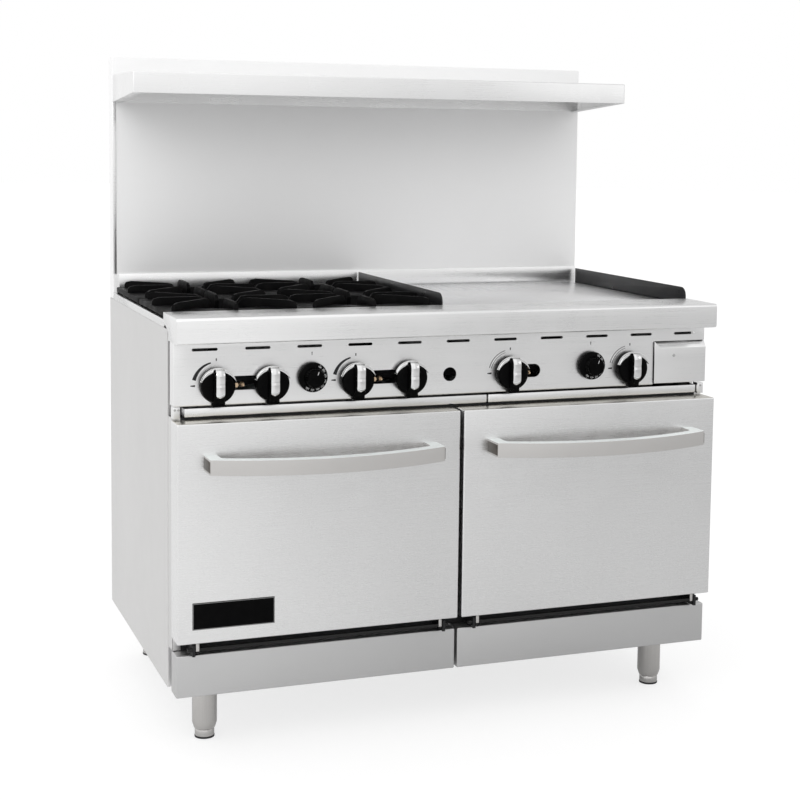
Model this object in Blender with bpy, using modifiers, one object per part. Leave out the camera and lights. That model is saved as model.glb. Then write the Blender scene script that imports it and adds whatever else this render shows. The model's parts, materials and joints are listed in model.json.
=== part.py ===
"""Commercial gas range, 48 in wide: four open burners, a 24 in griddle, two drop-door ovens,
a backguard with a high shelf, and four adjustable legs.

Metres, +Z up. X runs along the front (0 at the middle), the front faces -Y, and the floor is Z = 0.
Depths are given as distances forward of the back plane and turned into Y by fwd().
Run with: blender --background --python part.py
"""
import math

import bmesh
import bpy
from mathutils import Matrix, Vector

# Overall size
WIDTH = 1.219
DEPTH = 0.870            # back plane to the bow of the door handles
HEIGHT = 1.440
HALF = WIDTH / 2
Y_BACK = DEPTH / 2

# Sheet metal
SHEET = 0.0012
PLATE = 0.0020
GAP = 0.0003             # clearance between pieces that touch
FLANGE = 0.008

# Heights
BODY_BOTTOM = 0.122
KICK_TOP = 0.209
HINGE_Z = 0.2235
DOOR_BOTTOM = 0.238
DOOR_TOP = 0.686
TRAY_BOTTOM = 0.6905
TRAY_TOP = 0.7085
PANEL_BOTTOM = 0.7135
RAIL_BOTTOM = 0.844
SIDE_TOP = 0.8660
RIM_TOP = 0.8820
RAIL_TOP = 0.897
GRIDDLE_TOP = 0.885
GRATE_TOP = 0.8970
FIN_TOP = 0.9135
SHELF_BOTTOM = 1.350
SHELF_TOP = 1.397
SHELF_END_DROP = 0.017   # how much deeper the shelf's ends are at the back

# Depths forward of the back plane
GUARD_FRONT = 0.045
SHELF_FRONT = 0.305
RIM_FRONT = 0.6355
SIDE_FRONT = 0.670
FRAME_FRONT = 0.709
PANEL_FRONT = 0.720
TRAY_FRONT = 0.716
KICK_BACK = 0.701
KICK_FRONT = 0.747
DOOR_BACK = 0.712
DOOR_FRONT = 0.767
RAIL_FRONT = 0.768
HINGE_DEPTH = 0.757

# Legs
LEG_X = 0.5265
LEG_FRONT_DEPTH = 0.647
LEG_REAR_DEPTH = 0.075
LEG_RADIUS = 0.026
LEG_BORE = 0.0140
LEG_FLANGE = 0.045
STEM_RADIUS = 0.0130
STEM_TOP = 0.104
FOOT_RADIUS = 0.0205
FOOT_HEIGHT = 0.0195

# Rear panel
REAR_PANEL_DEPTH = (0.0265, 0.0280)
INLET_HOLE = 0.020
LOUVRE_X = (-0.30, 0.30)
LOUVRE_Z = (0.560, 0.580, 0.600)
LOUVRE_HALF = (0.040, 0.004)     # half the length and height of a louvre slot

# Ovens
DOOR_SPLIT = 0.0042      # half the gap between the two doors
OVEN_INNER = 0.0500      # cavity walls nearest the middle
OVEN_OUTER = 0.5600
OVEN_FLOOR = 0.2605
OVEN_ROOF = 0.6500
OVEN_REAR = 0.078
LEDGE_LEVELS = (0.345, 0.424, 0.530)
LEDGE_SIZE = 0.008
LEDGE_THICKNESS = 0.006
LEDGE_DEPTHS = (0.100, 0.680)
RACK_Z = 0.4303
RACK_THICKNESS = 0.006
RACK_DEPTHS = (0.095, 0.655)
RACK_SLOTS = 12
OVEN_BURNER_Z = 0.232
OVEN_BURNER_RADIUS = 0.014

# Door hinges
HINGE_EARS = (0.035, 0.575)      # distance of each hinge from the middle of the range
EAR_HALF = 0.003                 # half the thickness of an ear or a lug
HINGE_PIN = 0.0041
HINGE_BORE = 0.0042

# Door handles
HANDLE_BOTTOM = 0.5915
HANDLE_TOP = 0.6222
HANDLE_INSET = 0.0545    # door edge to the handle's end
HANDLE_END_DEPTH = 0.820
HANDLE_BAR = 0.024
HANDLE_FOOT = 0.024

# Cooktop
GRATE_WIDTH = 0.3010
GRATE_DEPTH = 0.2830
GRATE_CENTRES_X = (-0.4558, -0.1535)
GRATE_CENTRES_D = (0.2090, 0.4930)
GRATE_HOLE = 0.105
GRATE_BAR = 0.024        # bar of the top frame that the grates meet over
FIN_WIDTH = 0.008
FIN_START = 0.034
GRATE_FINS = 8
GRATE_BOTTOM = 0.886
GRIDDLE_X = (0.0060, 0.6005)
GRIDDLE_BACK = 0.060
GRIDDLE_FRONT = 0.565
GRIDDLE_THICKNESS = 0.019
GUTTER_Z = (0.846, 0.880)
SPLASH_TOP = 0.922
SPLASH_THICKNESS = 0.003
SPLASH_CORNER = 0.020
GRIDDLE_BURNER_Z = 0.826

# Control panel
KNOB_X = (-0.519, -0.406, -0.223, -0.105, 0.128, 0.418)
KNOB_Z = 0.755
KNOB_RADIUS = 0.0365
DIAL_X = (-0.318, 0.321)
DIAL_Z = 0.764
DIAL_RADIUS = 0.031
VALVE_HOLE = 0.0095
SIGHT_HOLE = (-0.012, 0.757, 0.015)      # X, Z, radius
PILOT_SLOTS = ((-0.500, -0.425), (-0.204, -0.124), (0.147, 0.200))
PILOT_Z = (0.743, 0.772)
VENT_SLOTS = 11
VENT_X = (-0.569, 0.529)                 # left ends of the first and last slot
VENT_LENGTH = 0.053
VENT_Z = (0.825, 0.831)
DRAWER_X = (0.4785, 0.6085)
DRAWER_Z = (0.717, 0.811)
DRAWER_PAN_X = (0.488, 0.598)
DRAWER_PAN_Z = (0.7225, 0.8050)
DRAWER_BACK = 0.330
TRAYS = (("left", (-0.584, 0.0770)), ("right", (0.0800, 0.5905)))
TRAY_BACK = 0.110

# Gas pipework
MANIFOLD_Z = 0.757
MANIFOLD_DEPTH = 0.655
PIPE_RADIUS = 0.0135
PIPE_BORE = 0.0100
INLET_X = -0.5600
SUPPLY_RADIUS = 0.004
SUPPLY_DEPTH = 0.600

# Finishes: colour, roughness, metallic
BRUSHED = ((0.66, 0.66, 0.65), 0.34, 1.0)
POLISHED = ((0.80, 0.80, 0.79), 0.22, 1.0)
GALVANISED = ((0.55, 0.57, 0.58), 0.50, 1.0)
ALUMINISED = ((0.48, 0.48, 0.47), 0.45, 1.0)
HANDLE_GREY = ((0.62, 0.65, 0.63), 0.38, 1.0)
CAST_IRON = ((0.018, 0.018, 0.020), 0.60, 0.3)
GRIDDLE_STEEL = ((0.58, 0.58, 0.59), 0.25, 1.0)
BLACK_STEEL = ((0.022, 0.022, 0.024), 0.50, 0.0)
BLACK_PLASTIC = ((0.010, 0.010, 0.012), 0.35, 0.0)
CHROME_WIRE = ((0.70, 0.70, 0.70), 0.18, 1.0)
BLACK_PIPE = ((0.08, 0.08, 0.085), 0.55, 0.8)


def fwd(depth):
    """Y of a plane that lies this far forward of the back plane."""
    return Y_BACK - depth


def clear_scene():
    for obj in list(bpy.data.objects):
        bpy.data.objects.remove(obj, do_unlink=True)


def new_collection(name):
    collection = bpy.data.collections.new(name)
    bpy.context.scene.collection.children.link(collection)
    return collection


clear_scene()
RANGE = new_collection("commercial_gas_range")
CUTTERS = new_collection("cutters")


def material(name, finish):
    colour, roughness, metallic = finish
    mat = bpy.data.materials.new(name + "_finish")
    mat.use_nodes = True
    shader = mat.node_tree.nodes["Principled BSDF"]
    shader.inputs["Base Color"].default_value = (*colour, 1.0)
    shader.inputs["Roughness"].default_value = roughness
    shader.inputs["Metallic"].default_value = metallic
    mat.diffuse_color = (*colour, 1.0)
    return mat


def mesh_object(name, bm, finish=None, origin=(0.0, 0.0, 0.0)):
    """A named part in world coordinates, with its origin at the given point."""
    mesh = bpy.data.meshes.new(name)
    bm.to_mesh(mesh)
    bm.free()
    mesh.transform(Matrix.Translation(-Vector(origin)))
    obj = bpy.data.objects.new(name, mesh)
    obj.location = origin
    if finish:
        mesh.materials.append(material(name, finish))
        RANGE.objects.link(obj)
    else:
        CUTTERS.objects.link(obj)
        obj.hide_render = True
        obj.display_type = "WIRE"
    return obj


def block(x, d, z):
    """A box between two X values, two depths and two heights."""
    bm = bmesh.new()
    bmesh.ops.create_cube(bm, size=1.0)
    size = (x[1] - x[0], d[1] - d[0], z[1] - z[0])
    centre = (sum(x) / 2, fwd(sum(d) / 2), sum(z) / 2)
    bmesh.ops.scale(bm, vec=size, verts=bm.verts)
    bmesh.ops.translate(bm, vec=centre, verts=bm.verts)
    return bm


def rod(start, end, radius, segments=16):
    """A round bar between two points."""
    axis = Vector(end) - Vector(start)
    bm = bmesh.new()
    bmesh.ops.create_cone(bm, cap_ends=True, segments=segments, radius1=radius, radius2=radius,
                          depth=axis.length)
    turn = Vector((0, 0, 1)).rotation_difference(axis).to_matrix().to_4x4()
    bmesh.ops.transform(bm, matrix=Matrix.Translation((Vector(start) + Vector(end)) / 2) @ turn,
                        verts=bm.verts)
    return bm


def open_face(bm, direction):
    """Takes away the face that points in the given direction."""
    face = max(bm.faces, key=lambda f: f.normal.dot(Vector(direction)))
    bmesh.ops.delete(bm, geom=[face], context="FACES_ONLY")
    return bm


def merged(shapes):
    """Several separate shapes as one mesh, for one cutter."""
    out = bmesh.new()
    for shape in shapes:
        mesh = bpy.data.meshes.new("shape")
        shape.to_mesh(mesh)
        shape.free()
        out.from_mesh(mesh)
        bpy.data.meshes.remove(mesh)
    return out


def thicken(obj, wall, offset=-1.0):
    solidify = obj.modifiers.new("sheet", "SOLIDIFY")
    solidify.thickness = wall
    solidify.offset = offset
    solidify.use_even_offset = True
    return obj


def boolean(obj, shape, operation):
    tool = mesh_object(obj.name + "_" + operation.lower(), shape)
    modifier = obj.modifiers.new(operation.lower(), "BOOLEAN")
    modifier.operation = operation
    modifier.solver = "EXACT"
    modifier.object = tool
    return tool


def cut(obj, shapes):
    """Cuts shapes that don't overlap each other out of a part."""
    boolean(obj, merged(shapes), "DIFFERENCE")


def fuse(obj, shapes):
    """Welds each shape onto a part."""
    for shape in shapes:
        boolean(obj, shape, "UNION")


def smooth(obj, angle=40.0):
    obj.data.shade_smooth()
    obj.data.set_sharp_from_angle(angle=math.radians(angle))


def folded_pan(name, x, d, z, opening, finish, wall=SHEET, origin=(0.0, 0.0, 0.0)):
    """A folded sheet box with one side open."""
    return thicken(mesh_object(name, open_face(block(x, d, z), opening), finish, origin), wall)


def curve_mesh(curve):
    """A curve object's welded mesh; the curve itself is removed."""
    obj = bpy.data.objects.new("curve", curve)
    bpy.context.scene.collection.objects.link(obj)
    bpy.context.view_layer.update()
    depsgraph = bpy.context.evaluated_depsgraph_get()
    mesh = bpy.data.meshes.new_from_object(obj.evaluated_get(depsgraph))
    bm = bmesh.new()
    bm.from_mesh(mesh)
    bmesh.ops.remove_doubles(bm, verts=bm.verts, dist=0.00001)
    bpy.data.meshes.remove(mesh)
    bpy.data.objects.remove(obj, do_unlink=True)
    return bm


def tube(points, radius, resolution=2, closed=False):
    """A round tube along straight runs between (x, depth, z) points."""
    curve = bpy.data.curves.new("tube", "CURVE")
    curve.dimensions = "3D"
    curve.bevel_depth = radius
    curve.bevel_resolution = resolution
    curve.use_fill_caps = not closed
    spline = curve.splines.new("POLY")
    spline.points.add(len(points) - 1)
    spline.use_cyclic_u = closed
    for point, (x, depth, z) in zip(spline.points, points):
        point.co = (x, fwd(depth), z, 1.0)
    return curve_mesh(curve)


def plate(outline, holes, bottom, top):
    """A flat plate between two heights, from (x, depth) outlines."""
    curve = bpy.data.curves.new("plate", "CURVE")
    curve.dimensions = "2D"
    curve.fill_mode = "BOTH"
    curve.extrude = (top - bottom) / 2
    for loop in [outline] + holes:
        spline = curve.splines.new("POLY")
        spline.points.add(len(loop) - 1)
        spline.use_cyclic_u = True
        for point, (x, depth) in zip(spline.points, loop):
            point.co = (x, fwd(depth), 0.0, 1.0)
    bm = curve_mesh(curve)
    bmesh.ops.translate(bm, vec=(0.0, 0.0, (top + bottom) / 2), verts=bm.verts)
    return bm


def rectangle(x, d):
    return [(x[0], d[0]), (x[1], d[0]), (x[1], d[1]), (x[0], d[1])]


def circle(x, depth, radius, steps):
    angles = [math.tau * i / steps for i in range(steps)]
    return [(x + radius * math.cos(t), depth + radius * math.sin(t)) for t in angles]


def turned(name, profile, finish, origin, rotation=(0.0, 0.0, 0.0), steps=24, closed=False):
    """A turned piece from (radius, height) points that run down its outer side."""
    bm = bmesh.new()
    verts = [bm.verts.new((radius, 0.0, height)) for radius, height in profile]
    for first, second in zip(verts, verts[1:] + (verts[:1] if closed else [])):
        bm.edges.new((first, second))
    mesh = bpy.data.meshes.new(name)
    bm.to_mesh(mesh)
    bm.free()
    obj = bpy.data.objects.new(name, mesh)
    obj.location = origin
    obj.rotation_euler = rotation
    mesh.materials.append(material(name, finish))
    RANGE.objects.link(obj)
    screw = obj.modifiers.new("turn", "SCREW")
    screw.axis = "Z"
    screw.steps = steps
    screw.render_steps = steps
    screw.use_merge_vertices = True
    screw.merge_threshold = 0.00001
    screw.use_smooth_shade = True
    return obj


# ---------------------------------------------------------------- legs and base

def make_leg(place, x, depth):
    """A flanged tube with an adjustable foot that slides in it."""
    tube_top = BODY_BOTTOM
    shoulder = FOOT_HEIGHT + 0.0005
    turned("leg_tube_" + place, [
        (LEG_FLANGE, tube_top), (LEG_FLANGE, tube_top - 0.004), (LEG_RADIUS, tube_top - 0.006),
        (LEG_RADIUS, 0.031), (0.0218, shoulder), (LEG_BORE, shoulder), (LEG_BORE, 0.110),
        (0.0060, 0.112), (0.0060, tube_top)], POLISHED, (x, fwd(depth), 0.0), closed=True)
    turned("leg_foot_" + place, [
        (0.0, STEM_TOP), (STEM_RADIUS - 0.001, STEM_TOP), (STEM_RADIUS, STEM_TOP - 0.002),
        (STEM_RADIUS, shoulder), (FOOT_RADIUS - 0.001, FOOT_HEIGHT), (FOOT_RADIUS, FOOT_HEIGHT - 0.001),
        (FOOT_RADIUS, 0.003), (FOOT_RADIUS - 0.002, 0.0), (0.0, 0.0)], POLISHED, (x, fwd(depth), 0.0))


def make_base():
    """Base pan between the side panels, open at the top."""
    half = HALF - FLANGE - 0.0005
    folded_pan("base_frame", (-half, half), (REAR_PANEL_DEPTH[1] + 0.0005, KICK_BACK - 0.0005),
               (BODY_BOTTOM + GAP, KICK_TOP), (0, 0, 1), GALVANISED, PLATE)


def make_sides():
    """Side panels: a sheet with a short fold along the front and back edges."""
    for place, side in (("left", -1), ("right", 1)):
        corners = [(HALF - FLANGE, SIDE_FRONT), (HALF, SIDE_FRONT), (HALF, 0.0), (HALF - FLANGE, 0.0)]
        bm = bmesh.new()
        verts = [bm.verts.new((side * x, fwd(d), BODY_BOTTOM)) for x, d in corners]
        edges = [bm.edges.new(pair) for pair in zip(verts, verts[1:])]
        run = bmesh.ops.extrude_edge_only(bm, edges=edges)
        top = [item for item in run["geom"] if isinstance(item, bmesh.types.BMVert)]
        bmesh.ops.translate(bm, vec=(0, 0, SIDE_TOP - BODY_BOTTOM), verts=top)
        bmesh.ops.recalc_face_normals(bm, faces=bm.faces)
        wide = max(bm.faces, key=lambda f: f.calc_area())
        if wide.normal.x * side < 0:
            bmesh.ops.reverse_faces(bm, faces=bm.faces)
        thicken(mesh_object("side_panel_" + place, bm, BRUSHED), SHEET)


def make_rear_panel():
    """Flat rear panel with a hole for the gas inlet and louvre slots behind each oven."""
    half = HALF - SHEET - 0.0006
    rear = mesh_object("rear_panel", block((-half, half), REAR_PANEL_DEPTH,
                                           (BODY_BOTTOM + GAP, SIDE_TOP - GAP)), GALVANISED)
    inlet = rod((INLET_X, fwd(0.0), MANIFOLD_Z), (INLET_X, fwd(0.05), MANIFOLD_Z), INLET_HOLE, 20)
    half_length, half_height = LOUVRE_HALF
    slots = [block((x - half_length, x + half_length), (0.02, 0.035), (z - half_height, z + half_height))
             for x in LOUVRE_X for z in LOUVRE_Z]
    cut(rear, [inlet] + slots)


def make_kicks():
    """Two kick panels below the doors, folded back at every edge."""
    for place, side in (("left", -1), ("right", 1)):
        x = sorted((side * 0.0030, side * (HALF - 0.0020)))
        folded_pan("kick_panel_" + place, x, (KICK_BACK, KICK_FRONT), (BODY_BOTTOM, KICK_TOP),
                   (0, 1, 0), BRUSHED)


# ---------------------------------------------------------------- ovens

def oven_span(side):
    return sorted((side * OVEN_INNER, side * OVEN_OUTER))


def door_span(side):
    return sorted((side * DOOR_SPLIT, side * HALF))


def make_front_frame():
    """Folded frame round both oven mouths, with two hinge ears below each door."""
    frame = folded_pan("front_frame", (-HALF + 0.003, HALF - 0.003), (0.672, FRAME_FRONT),
                       (KICK_TOP + 0.0005, TRAY_BOTTOM - 0.001), (0, 1, 0), BLACK_STEEL, PLATE)
    hinges = [side * offset for side in (-1, 1) for offset in HINGE_EARS]
    fuse(frame, [block((x - EAR_HALF, x + EAR_HALF), (FRAME_FRONT - 0.001, HINGE_DEPTH + 0.008),
                       (HINGE_Z - 0.0125, HINGE_Z + 0.0110)) for x in hinges])
    mouths = [block([wall + inward * SHEET for wall, inward in zip(oven_span(side), (1, -1))],
                    (0.690, 0.720), (OVEN_FLOOR + SHEET, OVEN_ROOF - SHEET)) for side in (-1, 1)]
    bores = [rod((x - 0.01, fwd(HINGE_DEPTH), HINGE_Z), (x + 0.01, fwd(HINGE_DEPTH), HINGE_Z), HINGE_BORE)
             for x in hinges]
    cut(frame, mouths + bores)


def make_oven(place, side):
    """Liner with rack ledges, the rack on the middle ledges, and the tube burner below the floor."""
    x = oven_span(side)
    liner = folded_pan("oven_liner_" + place, x, (OVEN_REAR, FRAME_FRONT - PLATE - 0.0005),
                       (OVEN_FLOOR, OVEN_ROOF), (0, -1, 0), ALUMINISED)
    ledges = []
    for level in LEDGE_LEVELS:
        for wall, inward in ((x[0], 1), (x[1], -1)):
            edge = sorted((wall + inward * SHEET / 2, wall + inward * (SHEET + LEDGE_SIZE)))
            ledges.append(block(edge, LEDGE_DEPTHS, (level, level + LEDGE_THICKNESS)))
    fuse(liner, ledges)

    inner = (x[0] + SHEET + 0.003, x[1] - SHEET - 0.003)
    border, half_wire = 0.006, 0.003
    pitch = (inner[1] - inner[0] - 2 * border) / RACK_SLOTS
    starts = [inner[0] + border + i * pitch for i in range(RACK_SLOTS)]
    holes = [rectangle((start + half_wire, start + pitch - half_wire),
                       (RACK_DEPTHS[0] + 0.008, RACK_DEPTHS[1] - 0.008)) for start in starts]
    rack = plate(rectangle(inner, RACK_DEPTHS), holes, RACK_Z, RACK_Z + RACK_THICKNESS)
    mesh_object("oven_rack_" + place, rack, CHROME_WIRE, (sum(inner) / 2, fwd(sum(RACK_DEPTHS) / 2), RACK_Z))

    middle = sum(x) / 2
    near, far = middle + side * 0.13, middle - side * 0.13
    run = [(middle + side * 0.19, SUPPLY_DEPTH), (near, SUPPLY_DEPTH), (near, 0.16), (far, 0.16),
           (far, SUPPLY_DEPTH)]
    burner = tube([(x, depth, OVEN_BURNER_Z) for x, depth in run], OVEN_BURNER_RADIUS)
    smooth(mesh_object("oven_burner_" + place, burner, ALUMINISED))


def handle_outline(x):
    """Plan of a bowed bar whose two ends return to the door."""
    left, right = x
    middle = (left + right) / 2
    half = (right - left) / 2
    bow = DEPTH - HANDLE_END_DEPTH
    radius = (half * half + bow * bow) / (2 * bow)
    centre = DEPTH - radius

    def arc(radius_here, reach, steps):
        angle = math.asin(reach / radius_here)
        return [(middle + radius_here * math.sin(t), centre + radius_here * math.cos(t))
                for t in (angle * (2 * i / steps - 1) for i in range(steps + 1))]

    base = DOOR_FRONT + GAP
    outer = arc(radius, half, 20)
    inner = arc(radius - HANDLE_BAR, half - HANDLE_FOOT, 20)
    return [(left, base)] + outer + [(right, base), (right - HANDLE_FOOT, base)] + inner[::-1] + [
        (left + HANDLE_FOOT, base)]


def make_door(place, side):
    """Outer skin, inner panel, bowed handle and hinge rod; all turn on the rod's axis."""
    x = door_span(side)
    hinge = (sum(x) / 2, fwd(HINGE_DEPTH), HINGE_Z)
    folded_pan("door_skin_" + place, x, (DOOR_BACK, DOOR_FRONT), (DOOR_BOTTOM, DOOR_TOP),
               (0, 1, 0), BRUSHED, SHEET, hinge)
    inside = SHEET + GAP
    liner = (x[0] + inside, x[1] - inside)
    folded_pan("door_liner_" + place, liner, (DOOR_BACK - 0.0015, DOOR_BACK + 0.022),
               (DOOR_BOTTOM + inside, DOOR_TOP - inside), (0, -1, 0), ALUMINISED, SHEET, hinge)

    handle_x = (x[0] + HANDLE_INSET, x[1] - HANDLE_INSET)
    handle = plate(handle_outline(handle_x), [], HANDLE_BOTTOM, HANDLE_TOP)
    obj = mesh_object("door_handle_" + place, handle, HANDLE_GREY, hinge)
    edges = obj.modifiers.new("edge", "BEVEL")
    edges.width = 0.0015
    edges.segments = 1
    edges.limit_method = "ANGLE"
    edges.angle_limit = math.radians(50)

    near, far = HINGE_EARS
    ends = sorted((side * (near - 0.012), side * (far + 0.012)))
    pin = mesh_object("door_hinge_rod_" + place, rod((ends[0], fwd(HINGE_DEPTH), HINGE_Z),
                                                     (ends[1], fwd(HINGE_DEPTH), HINGE_Z), HINGE_PIN),
                      POLISHED, hinge)
    smooth(pin)
    fuse(pin, [block((lug - EAR_HALF, lug + EAR_HALF), (HINGE_DEPTH - 0.008, HINGE_DEPTH + 0.006),
                     (HINGE_Z - 0.006, DOOR_BOTTOM - GAP))
               for lug in (side * (near + 0.008), side * (far - 0.008))])


# ---------------------------------------------------------------- cooktop

def make_cooktop_frame():
    """Shallow folded top frame: an opening for each pair of burners, a bar between, and the griddle's."""
    frame = folded_pan("cooktop_frame", (-HALF, HALF), (GUARD_FRONT + 0.001, RIM_FRONT),
                       (SIDE_TOP + GAP, RIM_TOP), (0, 0, -1), BRUSHED, PLATE)
    middle = sum(GRATE_CENTRES_X) / 2
    depths = (GUARD_FRONT + 0.025, RIM_FRONT - 0.012)
    spans = ((-HALF + 0.025, middle - GRATE_BAR / 2), (middle + GRATE_BAR / 2, -0.020))
    burners = [block(x, depths, (0.860, 0.890)) for x in spans]
    griddle = block((GRIDDLE_X[0] - 0.0005, GRIDDLE_X[1] + 0.0005),
                    (GRIDDLE_BACK - 0.0005, RIM_FRONT - 0.0015), (0.872, 0.890))
    cut(frame, burners + [griddle])


def make_front_rail():
    """Hollow rail along the front edge, with closed ends and an open underside at the back."""
    profile = [(0.636, RIM_TOP - 0.002), (0.684, 0.8615), (0.684, RAIL_BOTTOM), (RAIL_FRONT, RAIL_BOTTOM),
               (RAIL_FRONT, RAIL_TOP), (0.636, RAIL_TOP)]
    bm = bmesh.new()
    ring = [bm.verts.new((-HALF, fwd(d), z)) for d, z in profile]
    bm.faces.new(ring)
    run = bmesh.ops.extrude_face_region(bm, geom=list(bm.faces))
    far = [item for item in run["geom"] if isinstance(item, bmesh.types.BMVert)]
    bmesh.ops.translate(bm, vec=(WIDTH, 0, 0), verts=far)
    bmesh.ops.recalc_face_normals(bm, faces=bm.faces)
    behind = [f for f in bm.faces if f.normal.y > 0.3 and f.calc_center_median().z < 0.873]
    bmesh.ops.delete(bm, geom=behind, context="FACES_ONLY")
    bmesh.ops.delete(bm, geom=[e for e in bm.edges if not e.link_faces], context="EDGES")
    nose = [e for e in bm.edges if all(abs(v.co.y - fwd(RAIL_FRONT)) < 1e-6 for v in e.verts)
            and abs(e.verts[0].co.z - e.verts[1].co.z) < 1e-6]
    bmesh.ops.bevel(bm, geom=nose, offset=0.006, segments=3, profile=0.5, affect="EDGES")
    thicken(mesh_object("front_rail", bm, POLISHED), SHEET)


def make_burner(place, x, depth, lean):
    """Cast burner: round head, neck, and a venturi tube that runs to its valve."""
    burner = turned("burner_" + place, [
        (0.0, 0.858), (0.020, 0.864), (0.044, 0.861), (0.047, 0.852), (0.040, 0.838), (0.022, 0.826),
        (0.020, 0.785), (0.0, 0.785)], CAST_IRON, (x, fwd(depth), 0.0), steps=20)
    venturi = tube([(x, depth, 0.798), (x + lean, depth + 0.05, 0.796), (x + lean, 0.632, 0.782)], 0.0125)
    fuse(burner, [venturi])


def make_grate(place, x, depth):
    """Cast grate: a flat frame round the burner opening, eight upright fins and four feet."""
    half_x = GRATE_WIDTH / 2
    half_d = GRATE_DEPTH / 2
    frame = plate(rectangle((x - half_x, x + half_x), (depth - half_d, depth + half_d)),
                  [circle(x, depth, GRATE_HOLE, 24)], GRATE_BOTTOM, GRATE_TOP)
    grate = mesh_object("grate_" + place, frame, CAST_IRON, (x, fwd(depth), GRATE_BOTTOM))
    fins = []
    for i in range(GRATE_FINS):
        angle = math.tau * i / GRATE_FINS
        if i % 2:
            reach = (half_d - 0.010) / abs(math.sin(angle))
        else:
            reach = half_x if i % 4 == 0 else half_d
        reach -= 0.001
        fin = block((FIN_START, reach), (-FIN_WIDTH / 2, FIN_WIDTH / 2), (GRATE_BOTTOM + 0.0004, FIN_TOP))
        bmesh.ops.translate(fin, vec=(0, -Y_BACK, 0), verts=fin.verts)
        bmesh.ops.rotate(fin, cent=(0, 0, 0), matrix=Matrix.Rotation(angle, 3, "Z"), verts=fin.verts)
        bmesh.ops.translate(fin, vec=(x, fwd(depth), 0), verts=fin.verts)
        fins.append(fin)
    feet = [block((x + sx * (half_x - 0.006) - 0.005, x + sx * (half_x - 0.006) + 0.005),
                  (depth + sd * (half_d - 0.012) - 0.006, depth + sd * (half_d - 0.012) + 0.006),
                  (RIM_TOP + GAP, GRATE_BOTTOM + 0.002)) for sx in (-1, 1) for sd in (-1, 1)]
    fuse(grate, fins + feet)


def make_griddle():
    """Thick plate with a welded grease gutter at its front, two side splashes and two burners."""
    griddle = mesh_object("griddle_plate", block(GRIDDLE_X, (GRIDDLE_BACK, GRIDDLE_FRONT),
                                                 (GRIDDLE_TOP - GRIDDLE_THICKNESS, GRIDDLE_TOP)),
                          GRIDDLE_STEEL)
    gutter = block(GRIDDLE_X, (GRIDDLE_FRONT - 0.004, RIM_FRONT - 0.002), GUTTER_Z)
    trough = block((GRIDDLE_X[0] + 0.003, GRIDDLE_X[1] - 0.003), (GRIDDLE_FRONT + 0.0005, RIM_FRONT - 0.005),
                   (GUTTER_Z[0] + 0.003, 0.900))
    drain = block((0.520, 0.570), (GRIDDLE_FRONT + 0.012, RIM_FRONT - 0.017), (0.840, 0.850))
    fuse(griddle, [gutter])
    cut(griddle, [trough])
    cut(griddle, [drain])

    for place, start in (("left", 0.0008), ("right", HALF - 0.0055)):
        splash = block((start, start + SPLASH_THICKNESS), (0.058, 0.634), (RIM_TOP + GAP, SPLASH_TOP))
        corner = [e for e in splash.edges if abs(e.calc_length() - SPLASH_THICKNESS) < 1e-5
                  and all(v.co.z > 0.9 and v.co.y < fwd(0.5) for v in e.verts)]
        bmesh.ops.bevel(splash, geom=corner, offset=SPLASH_CORNER, segments=5, profile=0.5, affect="EDGES")
        mesh_object("griddle_splash_" + place, splash, BLACK_STEEL)

    for place, middle in (("left", 0.160), ("right", 0.440)):
        near, far = middle - 0.06, middle + 0.06
        run = ((near, 0.600), (near, 0.120), (far, 0.120), (far, 0.520))
        burner = tube([(x, depth, GRIDDLE_BURNER_Z) for x, depth in run], 0.012)
        smooth(mesh_object("griddle_burner_" + place, burner, ALUMINISED))


# ---------------------------------------------------------------- controls and gas

def make_control_panel():
    """Folded panel with holes for the valves, pilot slots, a sight hole and a row of vent slots."""
    panel = folded_pan("control_panel", (-HALF + 0.002, HALF - 0.002), (0.690, PANEL_FRONT),
                       (PANEL_BOTTOM, RAIL_BOTTOM - 0.0005), (0, 1, 0), BRUSHED)
    through = (0.700, 0.735)

    def bore(x, z, radius, segments=16):
        return rod((x, fwd(through[1]), z), (x, fwd(through[0]), z), radius, segments)

    holes = [bore(x, KNOB_Z, VALVE_HOLE) for x in KNOB_X]
    holes += [bore(x, DIAL_Z, VALVE_HOLE) for x in DIAL_X]
    holes.append(bore(*SIGHT_HOLE, 20))
    holes += [block(slot, through, PILOT_Z) for slot in PILOT_SLOTS]
    pitch = (VENT_X[1] - VENT_X[0]) / (VENT_SLOTS - 1)
    starts = [VENT_X[0] + i * pitch for i in range(VENT_SLOTS)]
    holes += [block((start, start + VENT_LENGTH), through, VENT_Z) for start in starts]
    cut(panel, holes)
    cut(panel, [block((DRAWER_X[0] - 0.001, HALF), (0.680, 0.740), (0.700, DRAWER_Z[1] + 0.0005))])


def make_knob(number, x):
    """Round knob with an upright grip bar and a pointer tail; it turns on its own axis."""
    origin = (x, fwd(PANEL_FRONT), KNOB_Z)
    knob = turned("burner_knob_%d" % number, [
        (0.0, 0.024), (0.029, 0.024), (0.0340, 0.020), (KNOB_RADIUS, 0.0055), (0.0085, 0.0055),
        (0.0085, -0.0180), (0.0, -0.0180)], BLACK_PLASTIC, origin, (math.pi / 2, 0, 0))
    grip = block((x - 0.0095, x + 0.0095), (PANEL_FRONT + 0.014, PANEL_FRONT + 0.040),
                 (KNOB_Z - 0.034, KNOB_Z + 0.0355))
    tail = block((x - 0.0125, x + 0.0125), (PANEL_FRONT + 0.008, PANEL_FRONT + 0.022),
                 (KNOB_Z - 0.0410, KNOB_Z - 0.020))
    fuse(knob, [grip, tail])


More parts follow.
